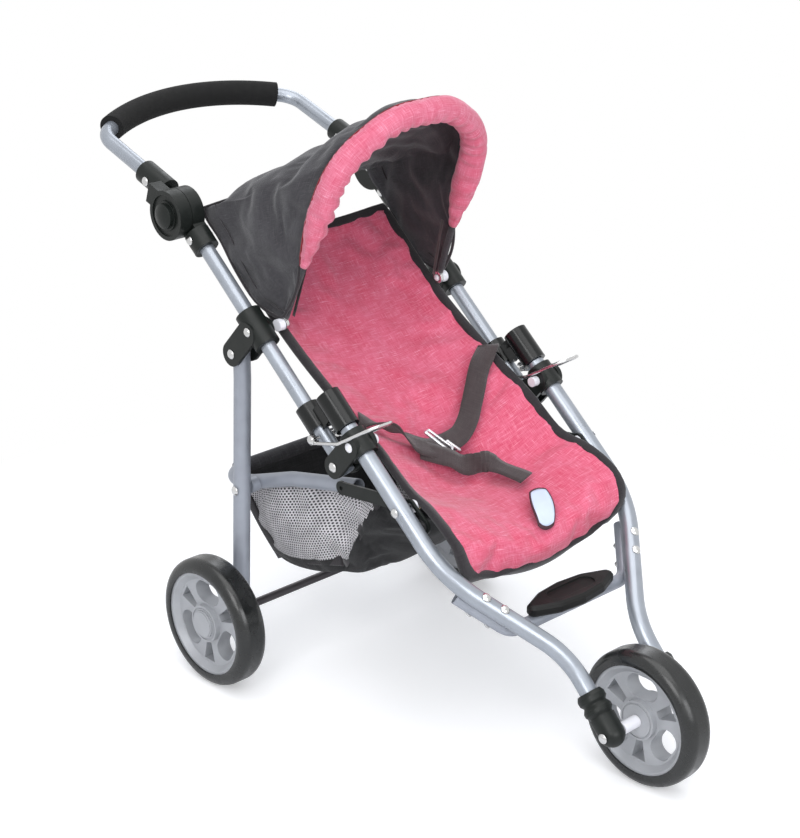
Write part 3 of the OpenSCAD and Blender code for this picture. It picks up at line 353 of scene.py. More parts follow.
WEB = cloth("webbing", (0.040, 0.030, 0.031), (0.062, 0.047, 0.048), (0.09, 0.075, 0.075),
            flecks=0.35, bump=0.6)
SEAM = cloth("red seam", (0.16, 0.006, 0.012), (0.26, 0.012, 0.022), (0.36, 0.04, 0.05))
NET_PITCH = 0.0036
NET_DEPTH = 0.0008
NET_SHADES = (0.85, 1.15)
NET_THREAD, NET_HOLE = (0.56, 0.545, 0.56), (0.035, 0.034, 0.036)


def build_net(t, s, _out):
    """A grey net over a dark lining."""
    uv = t.add("ShaderNodeUVMap", uv_map="cloth").outputs[0]
    n = use(t, NET, Vector=uv, Pitch=NET_PITCH)
    tint = t.span(t.noise(uv, 60.0), *CLOUDS, *NET_SHADES)
    thread = t.mix(1.0, NET_THREAD, t.join(tint, tint, tint), "MULTIPLY")
    t.put(s.inputs["Base Color"], t.mix(n["Thread"], NET_HOLE, thread))
    t.put(s.inputs["Roughness"], 0.65)
    t.put(s.inputs["Specular IOR Level"], 0.25)
    t.put(s.inputs["Normal"], t.bump(n["Thread"], 0.6, NET_DEPTH))


MESH = material("net", build_net)

FINISHES = {
    "upper_tube": TUBE, "front_tube": TUBE, "handle_tube": TUBE, "rear_leg": LEG, "basket_tube": LEG,
    "footrest_tube": LEG, "basket_spacers": LEG, "rear_axle": AXLE, "lock_slider": SLIDER,
    "tube_noses": SLIDER, "footrest_pad": PAD, "upper_bracket": BRACKET, "lower_bracket": BRACKET,
    "inner_joint": BRACKET, "outer_joint": BRACKET, "joint_button": BRACKET, "axle_socket": BRACKET,
    "canopy_studs": WHITE, "lower_studs": WHITE, "bolt_spacers": WHITE, "hub_spacers": WHITE,
    "bolt_nuts": BRASS, "rear_rim": RIM, "front_rim": RIM, "hub_cap": RIM, "rear_tyre": TYRE,
    "front_tyre": TYRE, "handle_grip": FOAM, "basket_links": BRACKET,
}
for name, o in nodes.items():
    finish = next((m for k, m in FINISHES.items() if name.startswith(k)), NICKEL)
    o.data.materials.clear()
    o.data.materials.append(finish)
    for p in o.data.polygons:
        p.material_index = 0

# ---------------------------------------------------------------- mesh helpers


def catmull(points, t):
    """A point on a smooth curve through points, t from 0 to 1 over them."""
    n = len(points) - 1
    x = min(max(t, 0.0), 1.0) * n
    i = min(int(x), n - 1)
    f = x - i
    p0, p1, p2, p3 = (points[min(max(k, 0), n)] for k in (i - 1, i, i + 1, i + 2))
    return 0.5 * ((2 * p1) + (p2 - p0) * f + (2 * p0 - 5 * p1 + 4 * p2 - p3) * f * f
                  + (3 * p1 - p0 - 3 * p2 + p3) * f ** 3)


def even(points, count):
    """Count points spread evenly along a polyline."""
    run = [0.0]
    for a, b in zip(points, points[1:]):
        run.append(run[-1] + (b - a).length)
    out = []
    k = 0
    for i in range(count):
        d = run[-1] * i / (count - 1)
        while k < len(points) - 2 and run[k + 1] < d:
            k += 1
        f = (d - run[k]) / max(run[k + 1] - run[k], 1e-12)
        out.append(points[k].lerp(points[k + 1], min(max(f, 0.0), 1.0)))
    return out


def smooth_path(points, count, fine=400):
    """Count even points on the smooth curve through a few."""
    return even([catmull(points, i / fine) for i in range(fine + 1)], count)


def rounded(points, bends, step=0.004):
    """A polyline with round bends, as in the CAD source."""
    out = [points[0]]
    for i in range(1, len(points) - 1):
        u = (points[i] - points[i - 1]).normalized()
        v = (points[i + 1] - points[i]).normalized()
        angle = u.angle(v)
        r = bends[i - 1] * MM
        n = -(v - v.dot(u) * u).normalized()
        start = points[i] - u * r * math.tan(angle / 2)
        c = start - n * r
        k = max(int(angle * r / step), 4)
        out += [c + (n * math.cos(angle * j / k) + u * math.sin(angle * j / k)) * r for j in range(k + 1)]
    return out + [points[-1]]


def link(me, name):
    o = bpy.data.objects.new(name, me)
    scene.collection.objects.link(o)
    return o


def grid(name, rows, mats, close=False, caps=False, mat_of=None, uv_of=None):
    """A grid bent through rows of points, with its UV in metres. close joins each row's ends."""
    if close:
        rows = [list(r) + [r[0]] for r in rows]
    n, m = len(rows), len(rows[0])
    du, dv = [0.0], [0.0]
    for a, b in zip(rows[n // 2], rows[n // 2][1:]):
        du.append(du[-1] + (b - a).length)
    for a, b in zip(rows, rows[1:]):
        dv.append(dv[-1] + (b[m // 2] - a[m // 2]).length)
    bm = bmesh.new()
    uv = bm.loops.layers.uv.new("cloth")
    bmesh.ops.create_grid(bm, x_segments=m - 1, y_segments=n - 1, size=1.0)
    place = {v: (round((v.co.y + 1) / 2 * (n - 1)), round((v.co.x + 1) / 2 * (m - 1))) for v in bm.verts}
    for f in bm.faces:
        f.smooth = True
        i, j = min(place[v][0] for v in f.verts), min(place[v][1] for v in f.verts)
        f.material_index = mat_of(i, j) if mat_of else 0
        for loop in f.loops:
            a, b = place[loop.vert]
            loop[uv].uv = uv_of(a, b) if uv_of else (du[b], dv[a])
    for v, (i, j) in place.items():
        v.co = rows[i][j]
    if close:
        bmesh.ops.remove_doubles(bm, verts=bm.verts, dist=1e-7)
        if caps:
            bmesh.ops.holes_fill(bm, edges=[e for e in bm.edges if e.is_boundary], sides=0)
        bmesh.ops.recalc_face_normals(bm, faces=bm.faces)
    me = bpy.data.meshes.new(name)
    bm.to_mesh(me)
    bm.free()
    for x in mats:
        me.materials.append(x)
    return link(me, name)


def frames(path, up):
    """Tangent, side and normal at each point of a path; up is a vector or one vector for each point."""
    out = []
    for i, p in enumerate(path):
        t = (path[min(i + 1, len(path) - 1)] - path[max(i - 1, 0)]).normalized()
        w = up[i] if isinstance(up, list) else up
        s = t.cross(w).normalized()
        out.append((t, s, s.cross(t).normalized()))
    return out


def sweep(name, path, up, profile, mats, scale=None):
    """A closed profile (side, normal), in metres, drawn along a path."""
    rows = []
    for i, (p, (t, s, n)) in enumerate(zip(path, frames(path, up))):
        k = scale(i / (len(path) - 1)) if scale else 1.0
        rows.append([p + s * a * k + n * b * k for a, b in profile])
    return grid(name, rows, mats, close=True, caps=True)


def oval(w, t, count=16, power=0.6):
    """A flattened round profile, w wide and t thick."""
    out = []
    for i in range(count):
        a = 2 * math.pi * i / count
        c, s = math.cos(a), math.sin(a)
        out.append((w / 2 * math.copysign(abs(c) ** power, c), t / 2 * math.copysign(abs(s) ** power, s)))
    return out


def apply_modifiers(o):
    """Makes the mesh that the modifiers show the object's own."""
    dg = bpy.context.evaluated_depsgraph_get()
    me = bpy.data.meshes.new_from_object(o.evaluated_get(dg), preserve_all_data_layers=True, depsgraph=dg)
    o.modifiers.clear()
    o.data = me
    return o


CLOTH_FRAMES = 18


def relax_cloth(o, pinned, growth, bending=0.6, pressure=0.0, cap=0.005):
    """Lets a cloth that is cut a little too large buckle between its pins. No point moves past cap."""
    before = [v.co.copy() for v in o.data.vertices]
    g = o.vertex_groups.new(name="pin")
    g.add(list(pinned), 1.0, "REPLACE")
    mod = o.modifiers.new("cloth", "CLOTH")
    s = mod.settings
    s.quality = 6
    s.mass = 0.25
    s.tension_stiffness = s.compression_stiffness = 15.0
    s.shear_stiffness = 5.0
    s.bending_stiffness = bending
    s.tension_damping = s.compression_damping = 10.0
    s.shear_damping = 8.0
    s.bending_damping = 1.0
    s.air_damping = 2.0
    s.vertex_group_mass = "pin"
    s.pin_stiffness = 1.0
    s.shrink_min = -growth
    s.effector_weights.gravity = 0.0
    if pressure:
        s.use_pressure = True
        s.uniform_pressure_force = pressure
    mod.collision_settings.use_collision = False
    mod.collision_settings.use_self_collision = False
    mod.point_cache.frame_start = 1
    mod.point_cache.frame_end = CLOTH_FRAMES
    for f in range(1, CLOTH_FRAMES + 1):
        scene.frame_set(f)
    apply_modifiers(o)
    scene.frame_set(1)
    for v, b in zip(o.data.vertices, before):
        d = v.co - b
        if d.length > cap:
            v.co = b + d * (cap / d.length)
    o.vertex_groups.clear()
    return o


def edge_pins(n, m, *more_rows):
    """The vertices on the border of a grid of n rows of m, and in the rows named."""
    held = {0, n - 1, *more_rows}
    return [i * m + j for i in range(n) for j in range(m) if i in held or j in (0, m - 1)]


def ripple(o, amount, scale, seed):
    """A little unevenness along the normals."""
    shift = Vector((seed, seed * 0.7, 0))
    for v in o.data.vertices:
        v.co += v.normal * amount * noise.noise(v.co * scale + shift)
    return o


def thicken(o, t, levels=0, back_mat=0):
    """Gives a cloth its thickness behind its face. back_mat is how many materials on the back and rim are."""
    mod = o.modifiers.new("thick", "SOLIDIFY")
    mod.thickness = t
    mod.offset = -1.0
    mod.use_even_offset = False
    mod.material_offset = mod.material_offset_rim = back_mat
    if levels:
        sub = o.modifiers.new("smooth", "SUBSURF")
        sub.levels = sub.render_levels = levels
    return apply_modifiers(o)


# ---------------------------------------------------------------- seat sling

# From the fold line, forwards and up, in millimetres: the sling's edge and the middle of its sag.
EDGE = [(174.6, 153.1), (104.6, 92.1), (40.6, 50.1), (-20.4, 16.1), (-59.4, -9.9), (-92.4, -17.9),
        (-123.4, -33.9), (-134.4, -52.9), (-130.4, -75.9), (-119.4, -89.9)]
SAG = [(173.0, 150.0), (94.6, 77.1), (30.6, 30.1), (-15.4, -5.9), (-45.4, -31.9), (-87.4, -35.9),
       (-123.4, -43.9), (-136.4, -61.9), (-134.4, -81.9), (-123.4, -94.9)]
SEAT_STEPS = 200
EDGE_PATH, SAG_PATH = (smooth_path([mm(0, FOLD[0] + y, FOLD[1] + z) for y, z in line], SEAT_STEPS + 1)
                       for line in (EDGE, SAG))
SEAT_HALF = 93.0
SEAT_LENGTH = 430.0
HEM_V = 0.968            # the hem's place on the paths
HEM_CORNER = 38.0
FLARE, FLARE_V, FLARE_RUN = 8.5, 0.66, 0.18


def seat_half(v):
    """Half the sling's width: wider over the front bend, with round corners at its hem."""
    k = min(max((v - FLARE_V) / FLARE_RUN, 0.0), 1.0)
    wide = SEAT_HALF + FLARE * k * k * (3 - 2 * k)
    d = max(HEM_V - v, 0.0) * SEAT_LENGTH
    if d >= HEM_CORNER:
        return wide
    return wide - HEM_CORNER + math.sqrt(max(HEM_CORNER ** 2 - (HEM_CORNER - d) ** 2, 0.0))


def seat_at(v, c, lift=0.0):
    """The sling's upper surface: v from its top (0) to its hem (1), c across from -1 to 1."""
    x = min(max(v, 0.0), 1.0) * SEAT_STEPS
    i = min(int(x), SEAT_STEPS - 1)
    e = EDGE_PATH[i].lerp(EDGE_PATH[i + 1], x - i)
    m = SAG_PATH[i].lerp(SAG_PATH[i + 1], x - i)
    p = m.lerp(e, c * c)
    p.x = c * seat_half(v) * MM
    if lift:
        p = p + seat_normal(v, c) * lift
    return p


def seat_normal(v, c):
    """The direction off the sling's upper surface."""
    a = seat_at(min(v + 0.01, HEM_V), c) - seat_at(max(min(v, HEM_V) - 0.01, 0.0), c)
    b = seat_at(v, min(c + 0.02, 1.0)) - seat_at(v, max(c - 0.02, -1.0))
    return a.cross(b).normalized()


SEAT_TRIES = [k / SEAT_STEPS for k in range(150)]


def seat_find(x, y):
    """The place (v, c) of the sling under a point, by its x and y in millimetres, on the seat part."""
    c = x / SEAT_HALF
    return min(((abs(seat_at(v, c).y / MM - y), v) for v in SEAT_TRIES))[1], c


CREASE_GAIN = 2.4
# Each from (v, c) to (v, c), with its height and half its width (in v).
CREASES = [((0.485, 0.95), (0.50, 0.25), 2.6, 0.010), ((0.455, 0.93), (0.475, 0.40), -2.2, 0.009),
           ((0.515, 0.96), (0.545, 0.45), -2.0, 0.010), ((0.43, 0.90), (0.45, 0.55), 1.5, 0.008),
           ((0.49, -0.95), (0.50, -0.35), 2.2, 0.010), ((0.46, -0.92), (0.48, -0.5), -1.6, 0.008),
           ((0.525, -0.95), (0.56, -0.5), -1.6, 0.010), ((0.56, 0.9), (0.60, 0.3), 1.2, 0.012)]


def crease_at(v, c):
    """How far the creases beside the fold lift or sink the sling here."""
    total = 0.0
    for (v0, c0), (v1, c1), height, width in CREASES:
        t = (c - c0) / (c1 - c0)
        if 0 < t < 1:
            swell = math.sin(math.pi * t) * (1 - t) * CREASE_GAIN
            total += height * MM * swell * math.exp(-((v - v0 - (v1 - v0) * t) / width) ** 2)
    return total


SEAT_ROWS, SEAT_COLS = 132, 48
places = [[(HEM_V * i / SEAT_ROWS, 2 * j / SEAT_COLS - 1) for j in range(SEAT_COLS + 1)]
          for i in range(SEAT_ROWS + 1)]
seat = grid("seat_cloth", [[seat_at(v, c, crease_at(v, c)) for v, c in row] for row in places], [PINK, GREY])
if seat.data.polygons[2000].normal.z < 0:
    seat.data.flip_normals()
ripple(seat, 0.0012, 55.0, 3.1)
relax_cloth(seat, edge_pins(SEAT_ROWS + 1, SEAT_COLS + 1), 0.022, cap=0.006)
thicken(seat, 0.0042, levels=1, back_mat=1)
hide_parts("seat_sling")

# The bound edge goes down the right side, along the hem, up the left side and along the top.
BIND_SIDE, BIND_END = 60, 16
rim = [(v / BIND_SIDE, -1.0) for v in range(BIND_SIDE + 1)]
rim += [(1.0, -1 + 2 * k / BIND_END) for k in range(1, BIND_END)]
rim += [(1 - v / BIND_SIDE, 1.0) for v in range(BIND_SIDE + 1)]
rim += [(0.0, 1 - 2 * k / BIND_END) for k in range(1, BIND_END)]
rim_path = [seat_at(HEM_V * v, c) for v, c in rim]
BIND_SINK = 0.0022
HEM_SHARE, HEM_SPREAD = 0.44, 0.07    # where on the way round the binding grows thicker
profile = oval(0.0095, 0.0062, 12, 0.55)
loops = []
for k, (p, (v, c)) in enumerate(zip(rim_path, rim)):
    t = (rim_path[(k + 1) % len(rim)] - rim_path[k - 1]).normalized()
    s = t.cross(seat_normal(HEM_V * v, c)).normalized()
    n = s.cross(t).normalized()
    low = math.exp(-((k / len(rim) - HEM_SHARE) / HEM_SPREAD) ** 2)
    loops.append([p - n * BIND_SINK + s * a * (1 + 0.5 * low) + n * b * (1 + 0.35 * low) for a, b in profile])
loops.append(loops[0])
bind = grid("seat_binding", loops, [BIND], close=True)

# ---------------------------------------------------------------- harness and patch

# Where the strap places below count from: the floor, and a fold line at this place.
Y0 = 112.558 + FOLD[0]
Z0 = FOLD[1] - 257.9
STRAP_WIDTH, STRAP_THICK, STRAP_STEPS = 0.0195, 0.0013, 60
STRAP_PROFILE = [(-1, 1), (-0.5, 1.15), (0, 1.2), (0.5, 1.15), (1, 1),
                 (1, -1), (0.5, -0.85), (0, -0.8), (-0.5, -0.85), (-1, -1)]


def strap(name, spots, lift=0.0035):
    """A band along spots given as (x, y, z, extra lift, roll in degrees) in millimetres."""
    pts, ups = [], []
    for k in range(STRAP_STEPS + 1):
        q = catmull([Vector((x, y + Y0, z)) for x, y, z, _, _ in spots], k / STRAP_STEPS)
        e = catmull([Vector((s[3], s[4], 0)) for s in spots], k / STRAP_STEPS)
        n = seat_normal(*seat_find(q.x, q.y))
        pts.append((q + Vector((0, 0, Z0))) * MM + n * (lift + e.x * MM))
        ups.append((n, e.y))
    rows = []
    for i, p in enumerate(pts):
        t = (pts[min(i + 1, STRAP_STEPS)] - pts[max(i - 1, 0)]).normalized()
        n = Matrix.Rotation(math.radians(ups[i][1]), 3, t) @ ups[i][0]
        s = t.cross(n).normalized()
        n = s.cross(t).normalized()
        rows.append([p + s * a * STRAP_WIDTH / 2 + n * b * STRAP_THICK / 2 for a, b in STRAP_PROFILE])
    o = grid(name, rows, [WEB], close=True, caps=True)
    return o


far_strap = strap("strap_far", [
    (97, -78, 303, 3, 30), (82, -86, 296, 5, 12), (67, -93, 288, 6, -8), (52, -103, 277, 5, 0),
    (39, -112, 268, 3, 0), (25, -121, 259, 2, 0), (8, -128, 252, 2, -6), (-11, -131, 250, 3, -6),
    (-20, -131, 250, 4, 0)])
near_strap = strap("strap_near", [
    (-94, -104, 286, 2, 10), (-84, -110, 281, 4, -25), (-73, -119, 273, 8, -55), (-64, -127, 265, 8, -20),
    (-54, -131, 258, 6, 0), (-40, -133, 252, 5, 0), (-27, -133, 250, 4, 0), (-18, -131, 250, 4, 0)])
tail_strap = strap("strap_tail", [
    (-50, -134, 255, 3, 8), (-35, -138, 247, 5, 6), (-22, -144, 241, 5, 0), (-10, -150, 233, 4, 12),
    (3, -154, 229, 8, 60), (13, -158, 227, 9, 30), (20, -170, 226, 4, 0), (26, -188, 225, 1.5, 0),
    (28, -196, 224, 1.0, 0)], lift=0.0028)


def bar_between(name, a, b, r, sides=10):
    """A round buckle bar with softened ends."""
    d = (b - a).normalized()
    up = Vector((0, 0, 1)) if abs(d.z) < 0.9 else Vector((1, 0, 0))
    path = [a - d * r * 0.8, a, a.lerp(b, 0.5), b, b + d * r * 0.8]
    ends = [0.5, 1.0, 1.0, 1.0, 0.5]
    turns = [2 * math.pi * k / sides for k in range(sides)]
    circle = [(r * math.cos(a), r * math.sin(a)) for a in turns]
    return sweep(name, path, up, circle, [BUCKLE], scale=lambda t: ends[round(t * 4)])


def on_seat(x, y, lift):
    """A point lifted off the sling, in millimetres."""
    v, c = seat_find(x, y + Y0)
    return seat_at(v, c) + seat_normal(v, c) * lift * MM


# Each bar's two ends (x, y, lift) and its radius, in millimetres.
BUCKLE_BARS = {
    "buckle_bar_a": ((-33, -122, 9.5), (-17, -138, 8.5), 1.6),
    "buckle_bar_b": ((-27, -119, 9.0), (-12, -135, 8.5), 1.3),
    "buckle_bar_c": ((-15, -131, 9.8), (-6, -139, 9.0), 1.5),
    "buckle_side_a": ((-33, -122, 9.2), (-27, -119, 8.8), 1.2),
    "buckle_side_b": ((-17, -138, 8.4), (-12, -135, 8.4), 1.2),
}
buckle = [bar_between(name, on_seat(*a), on_seat(*b), r * MM) for name, (a, b, r) in BUCKLE_BARS.items()]
for o in (far_strap, near_strap, tail_strap, *buckle):
    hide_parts("harness")

LABEL = hard("blank patch", (0.54, 0.61, 0.76), 0.55, bump=0.2, edge=0.0003)
BORDER = hard("patch border", (0.045, 0.008, 0.016), 0.6, bump=0.3, edge=0.0003)
PATCH_V, PATCH_C = 0.846, 0.098          # the patch's middle on the sling
PATCH_LENGTH, PATCH_WIDTH = 0.047, 0.105
PATCH_SLANT = 0.132


def patch_piece(name, size, lift, mat):
    """A rounded patch on the sling's front roll, size 0 to 1."""
    rows = []
    for i in range(17):
        b = -1 + i / 8
        row = []
        for j in range(13):
            a = -1 + j / 6
            k = 1.0 - 0.13 * (a * b) ** 2 - 0.03 * abs(a * b)
            x, y = a * k * size, b * k * size
            v = PATCH_V + y * PATCH_LENGTH + x * 0.006
            c = PATCH_C - y * PATCH_SLANT + x * (PATCH_WIDTH + 0.008 * math.cos(2.6 * y))
            row.append(seat_at(v, c) + seat_normal(v, c) * lift)
        rows.append(row)
    o = grid(name, rows, [mat])
    if o.data.polygons[90].normal.dot(seat_normal(PATCH_V, PATCH_C)) < 0:
        o.data.flip_normals()
    return thicken(o, 0.0008)


patch = patch_piece("blank_patch", 0.87, 0.0050, LABEL)
patch_edge = patch_piece("patch_border", 1.0, 0.0041, BORDER)

# ---------------------------------------------------------------- canopy

LEAN = math.radians(22)
PIVOT = anchors["canopy_fold"]


def hoop_at(x, t, d=0.0):
    """A point of the hoop's plane: x across, t up it and d in front of it, in millimetres."""
    return PIVOT + mm(x, -t * math.sin(LEAN) - d * math.cos(LEAN), t * math.cos(LEAN) - d * math.sin(LEAN))


hoop_front = (hoop_at(0, 0, 1) - hoop_at(0, 0, 0)).normalized()
half = [hoop_at(91.5, 62), hoop_at(84, 167.5), hoop_at(32, 203)]
HOOP_BEND = 62
arch = rounded(half + [Vector((-p.x, p.y, p.z)) for p in reversed(half)], [HOOP_BEND] * 4)
ARCH_N = 150
arch = even(arch, ARCH_N + 1)
arch_len = sum((b - a).length for a, b in zip(arch, arch[1:]))
ROLL_TIP, ROLL_TAPER = 0.30, 62.0
ROLL_OUT, ROLL_DEEP = 0.0106, 0.0128     # the roll's half sizes, outwards and to the front


def roll_size(t):
    """The roll tapers to its two lower ends."""
    d = min(t, 1 - t) * arch_len / MM
    return min(1.0, ROLL_TIP + (1 - ROLL_TIP) * math.sin(min(d / ROLL_TAPER, 1.0) * math.pi / 2))


def arch_frame(i):
    """The hoop's direction at a step of the arch, and outwards from it."""
    t = (arch[min(i + 1, ARCH_N)] - arch[max(i - 1, 0)]).normalized()
    out = t.cross(hoop_front).normalized()
    if out.dot(arch[i] - hoop_at(0, 90)) < 0:
        out = -out
    return t, out


def roll_point(i, phi, k=1.0):
    """A point of the roll's skin: phi 0 is outwards, 90 to the front."""
    t, out = arch_frame(i)
    s = roll_size(i / ARCH_N) * k
    a = math.radians(phi)
    return arch[i] + out * math.cos(a) * ROLL_OUT * s + hoop_front * math.sin(a) * ROLL_DEEP * s


rows = []
RING = 36
PUCKER_GAP, PUCKER_DEPTH = 0.0145, 0.15
random.seed(4)
pucker = [random.uniform(0.5, 1.0) for _ in range(60)]
for i in range(ARCH_N + 1):
    row = []
    run = i / ARCH_N * arch_len / PUCKER_GAP
    fold = math.sin(2 * math.pi * run + 1.3 * math.sin(run * 0.9)) * pucker[int(run) % 60]
    for j in range(RING):
        phi = 360.0 * j / RING
        inner = max(-math.cos(math.radians(phi + 25)), 0.0) ** 1.5
        row.append(roll_point(i, phi, 1.0 + PUCKER_DEPTH * fold * inner))
    rows.append(row)
roll = grid("canopy_roll_cloth", rows, [ROLL], close=True, caps=True)
if roll.data.polygons[RING * 40].normal.dot(roll.data.polygons[RING * 40].center - arch[40]) < 0:
    roll.data.flip_normals()
ripple(roll, 0.0007, 40.0, 8.2)
sewn = (RING * 5 // 6, RING * 5 // 6 + 1, RING * 7 // 12)
pins = [i * RING + j for i in range(ARCH_N + 1) for j in range(RING) if j in sewn or i in (0, ARCH_N)]
relax_cloth(roll, pins, 0.022, pressure=4.0, cap=0.0022, bending=0.5)
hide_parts("canopy_roll")

# The hood's lower edge on the left, from its tip beside the stud to its rear corner.
HEM = [(98.5, -4, 9), (99, 7, 6), (100, 34, 14), (101, 59.7, 36.9), (101, 80.1, 60.5),
       (101, 98.4, 75.5), (101, 105, 85.2)]
HEM = [PIVOT + mm(*q) for q in HEM]
HOOD_I, HOOD_J = 132, 34
SIDE_PART, BACK_PART = 0.22, 0.41        # shares of the hem: up the side, and to the end of the corner's fan
CORNER_FAN = 0.07


def hood_base(t):
    """The hood's hem: up one side, a fan of cloth at the rear corner, then across the back and down again."""
    if t > 0.5:
        p = hood_base(1 - t)
        return Vector((-p.x, p.y, p.z))
    if t < SIDE_PART:
        return catmull(HEM, t / SIDE_PART)
    k = min((t - SIDE_PART) / (BACK_PART - SIDE_PART), 1.0) * CORNER_FAN
    f = k + max((t - BACK_PART) / (0.5 - BACK_PART), 0.0) * (1 - CORNER_FAN)
    c = HEM[-1]
    rise = math.sin(f * math.pi / 2)
    return Vector((c.x * (1 - f), c.y + 0.003 * rise, c.z + 0.004 * rise))


SEAM_PHI = -34


def seam_at(t, lift=0.0):
    """The seam between roll and hood, t from one end of the roll to the other."""
    x = t * ARCH_N
    i = min(int(x), ARCH_N - 1)
    return roll_point(i, SEAM_PHI, 1.0 + lift).lerp(roll_point(i + 1, SEAM_PHI, 1.0 + lift), x - i)


HEART = PIVOT + mm(0, 20, 60)
HOOD_CROWN, HOOD_SWELL = 0.0046, 0.0020
CROWN_RUN = 3.4          # the crown beside the seam ends at 1 / CROWN_RUN of the way down
TAIL_SHARE, TAIL_BOW = 0.09, -5


def hood_at(t, v, lift=0.0):
    """The hood: t along the seam and hem, v from the seam (0) to the hem (1)."""
    p = seam_at(t).lerp(hood_base(t), v)
    out = (p - HEART).normalized()
    middle = math.sin(math.pi * t)
    sag = math.sin(math.pi * v) * middle
    crown = math.sin(math.pi * min(v * CROWN_RUN, 1.0)) * middle
    end = max(1 - min(t, 1 - t) / TAIL_SHARE, 0.0) * math.sin(math.pi * v)
    p += mm(0, TAIL_BOW * end, 0)
    return p + out * (HOOD_CROWN * crown + HOOD_SWELL * sag + lift)


rows = [[hood_at(i / HOOD_I, j / HOOD_J) for i in range(HOOD_I + 1)] for j in range(HOOD_J + 1)]
hood = grid("hood_cloth", rows, [GREY])
if hood.data.polygons[HOOD_I * 10 + 60].normal.z < 0:
    hood.data.flip_normals()
ripple(hood, 0.0026, 42.0, 1.7)
relax_cloth(hood, edge_pins(HOOD_J + 1, HOOD_I + 1), 0.028, cap=0.0045, bending=0.35)
thicken(hood, 0.0011, levels=1)
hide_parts("canopy_hood")

path = [seam_at(i / 100, 0.03) for i in range(101)]
outwards = [arch_frame(min(int(i * ARCH_N / 100), ARCH_N))[1] for i in range(101)]
piping = sweep("hood_piping", path, outwards, oval(0.0016, 0.0016, 8, 1.0), [SEAM])
CHANNEL_V = 0.87         # the stitched channel beside the hem
HEM_PROFILE = oval(0.0030, 0.0024, 10, 0.8)
LABELS = {1: "left", -1: "right"}
ACROSS = Vector((1, 0, 0))
trim = []
for sgn, t0, t1 in ((1, 0.0, SIDE_PART), (-1, 1.0, 1 - SIDE_PART)):
    run = [t0 + (t1 - t0) * k / 30 for k in range(31)]
    path = [hood_at(t, CHANNEL_V, 0.0012) for t in run]
    ups = [hood_at(t, CHANNEL_V, 0.01) - hood_at(t, CHANNEL_V) for t in run]
    trim.append(sweep("hood_channel_" + LABELS[sgn], path, ups, oval(0.0018, 0.0012, 8, 1.0), [BIND]))
    path = [hood_at(t0, k / 12, 0.0004) for k in range(13)]
    path += [hood_at(t0 + (t1 - t0) * k / 24, 1.0, 0.0004) for k in range(1, 25)]
    trim.append(sweep("hood_hem_" + LABELS[sgn], path, ACROSS, HEM_PROFILE, [BIND]))
path = [hood_at(SIDE_PART + (1 - 2 * SIDE_PART) * k / 60, 1.0, 0.0004) for k in range(61)]
path = even(path, 31)
trim.append(sweep("hood_hem_back", path, Vector((0, 0.6, 0.8)), HEM_PROFILE, [BIND]))
# A sleeve hides each foot of the wire hoop, and a ribbon ties the hood to the side tube.
ribbons = []
for sgn in (1, -1):
    path = [hoop_at(sgn * (95.5 - k * 0.42), 7 + k * 6) for k in range(10)]
    ribbons.append(sweep("hood_sleeve_" + LABELS[sgn], path, ACROSS, oval(0.0064, 0.0056, 14, 0.8), [GREY]))
    a, b = hoop_at(82 * sgn, 66, -6), side(142, 16, sgn * (TRACK - 30))
    path = [a.lerp(b, k / 8) for k in range(9)]
    ribbons.append(sweep("hood_ribbon_" + LABELS[sgn], path, ACROSS, oval(0.0036, 0.0009, 8, 0.6), [WEB]))
for o in (roll, piping, *ribbons):
    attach(o, "canopy")

# ---------------------------------------------------------------- basket

P3 = anchors["basket_fold"]


def bk(x, y, z):
    """A point by its place from the basket's pivot, in millimetres."""
    return P3 + mm(x, y, z)


rim_side = [(89, 47, -12), (90, 20, -6), (90, -2, -1), (90, -40, 11), (90, -85, 25), (90, -132, 33)]
front_bow = [(88, -150, 29), (83, -172, 20), (70, -184, 14), (45, -188, 12)]
low_side = [(73, 5, -88), (74, -8, -89), (75, -24, -88), (75, -44, -84), (75, -64, -78), (74, -86, -70)]
low_bow = [(72, -96, -68), (68, -104, -66), (58, -108, -65), (40, -110, -64)]
top_ring = [bk(*p) for p in rim_side + front_bow]
low_ring = [bk(*p) for p in low_side + low_bow]
SIDE_SHARE = 5 / 9       # how much of half a ring is its side; the rest is the front
BAG_SWELL = 0.006


def bag_at(t, v):
    """t from -1 (right) through 0 (front middle) to 1 (left); v from the rim (0) to the floor's edge (1)."""
    a = 1 - abs(t)
    mirror = -1 if t < 0 else 1
    p = catmull(top_ring, a).lerp(catmull(low_ring, a), v)
    full = 0.4 + 0.6 * math.sin(math.pi * min(a / SIDE_SHARE, 1.0))
    swell = math.sin(math.pi * min(v * 1.02, 1.0)) * BAG_SWELL * full
    p.x += swell
    if a > SIDE_SHARE:
        p.x *= 1 - ((a - SIDE_SHARE) / (1 - SIDE_SHARE)) ** 6
        p.y -= swell * 0.8
    p.x *= mirror
    return p


BT, BV = 144, 30
rows = [[bag_at(-1 + 2 * i / BT, j / BV) for i in range(BT + 1)] for j in range(BV + 1)]
FLOOR_RINGS = 8
ring = rows[BV]
centre = sum(ring, Vector()) / len(ring)
floor_z = centre.z - MM
for k in range(1, FLOOR_RINGS + 1):
    f = k / FLOOR_RINGS
    rows.append([Vector((p.x * (1 - f), p.y * (1 - f) + centre.y * f, p.z * (1 - f) + floor_z * f))
                 for p in ring])
WIN_T, WIN_V = (0.07 * SIDE_SHARE, 1.0 * SIDE_SHARE), (0.05, 0.82)
WIN_REACH, WIN_LEAN = 1.03, 0.19


def window_end(v):
    """The net's front edge, which leans forwards to the rim."""
    return WIN_T[1] * WIN_REACH + WIN_LEAN * SIDE_SHARE * (1 - v / WIN_V[1])


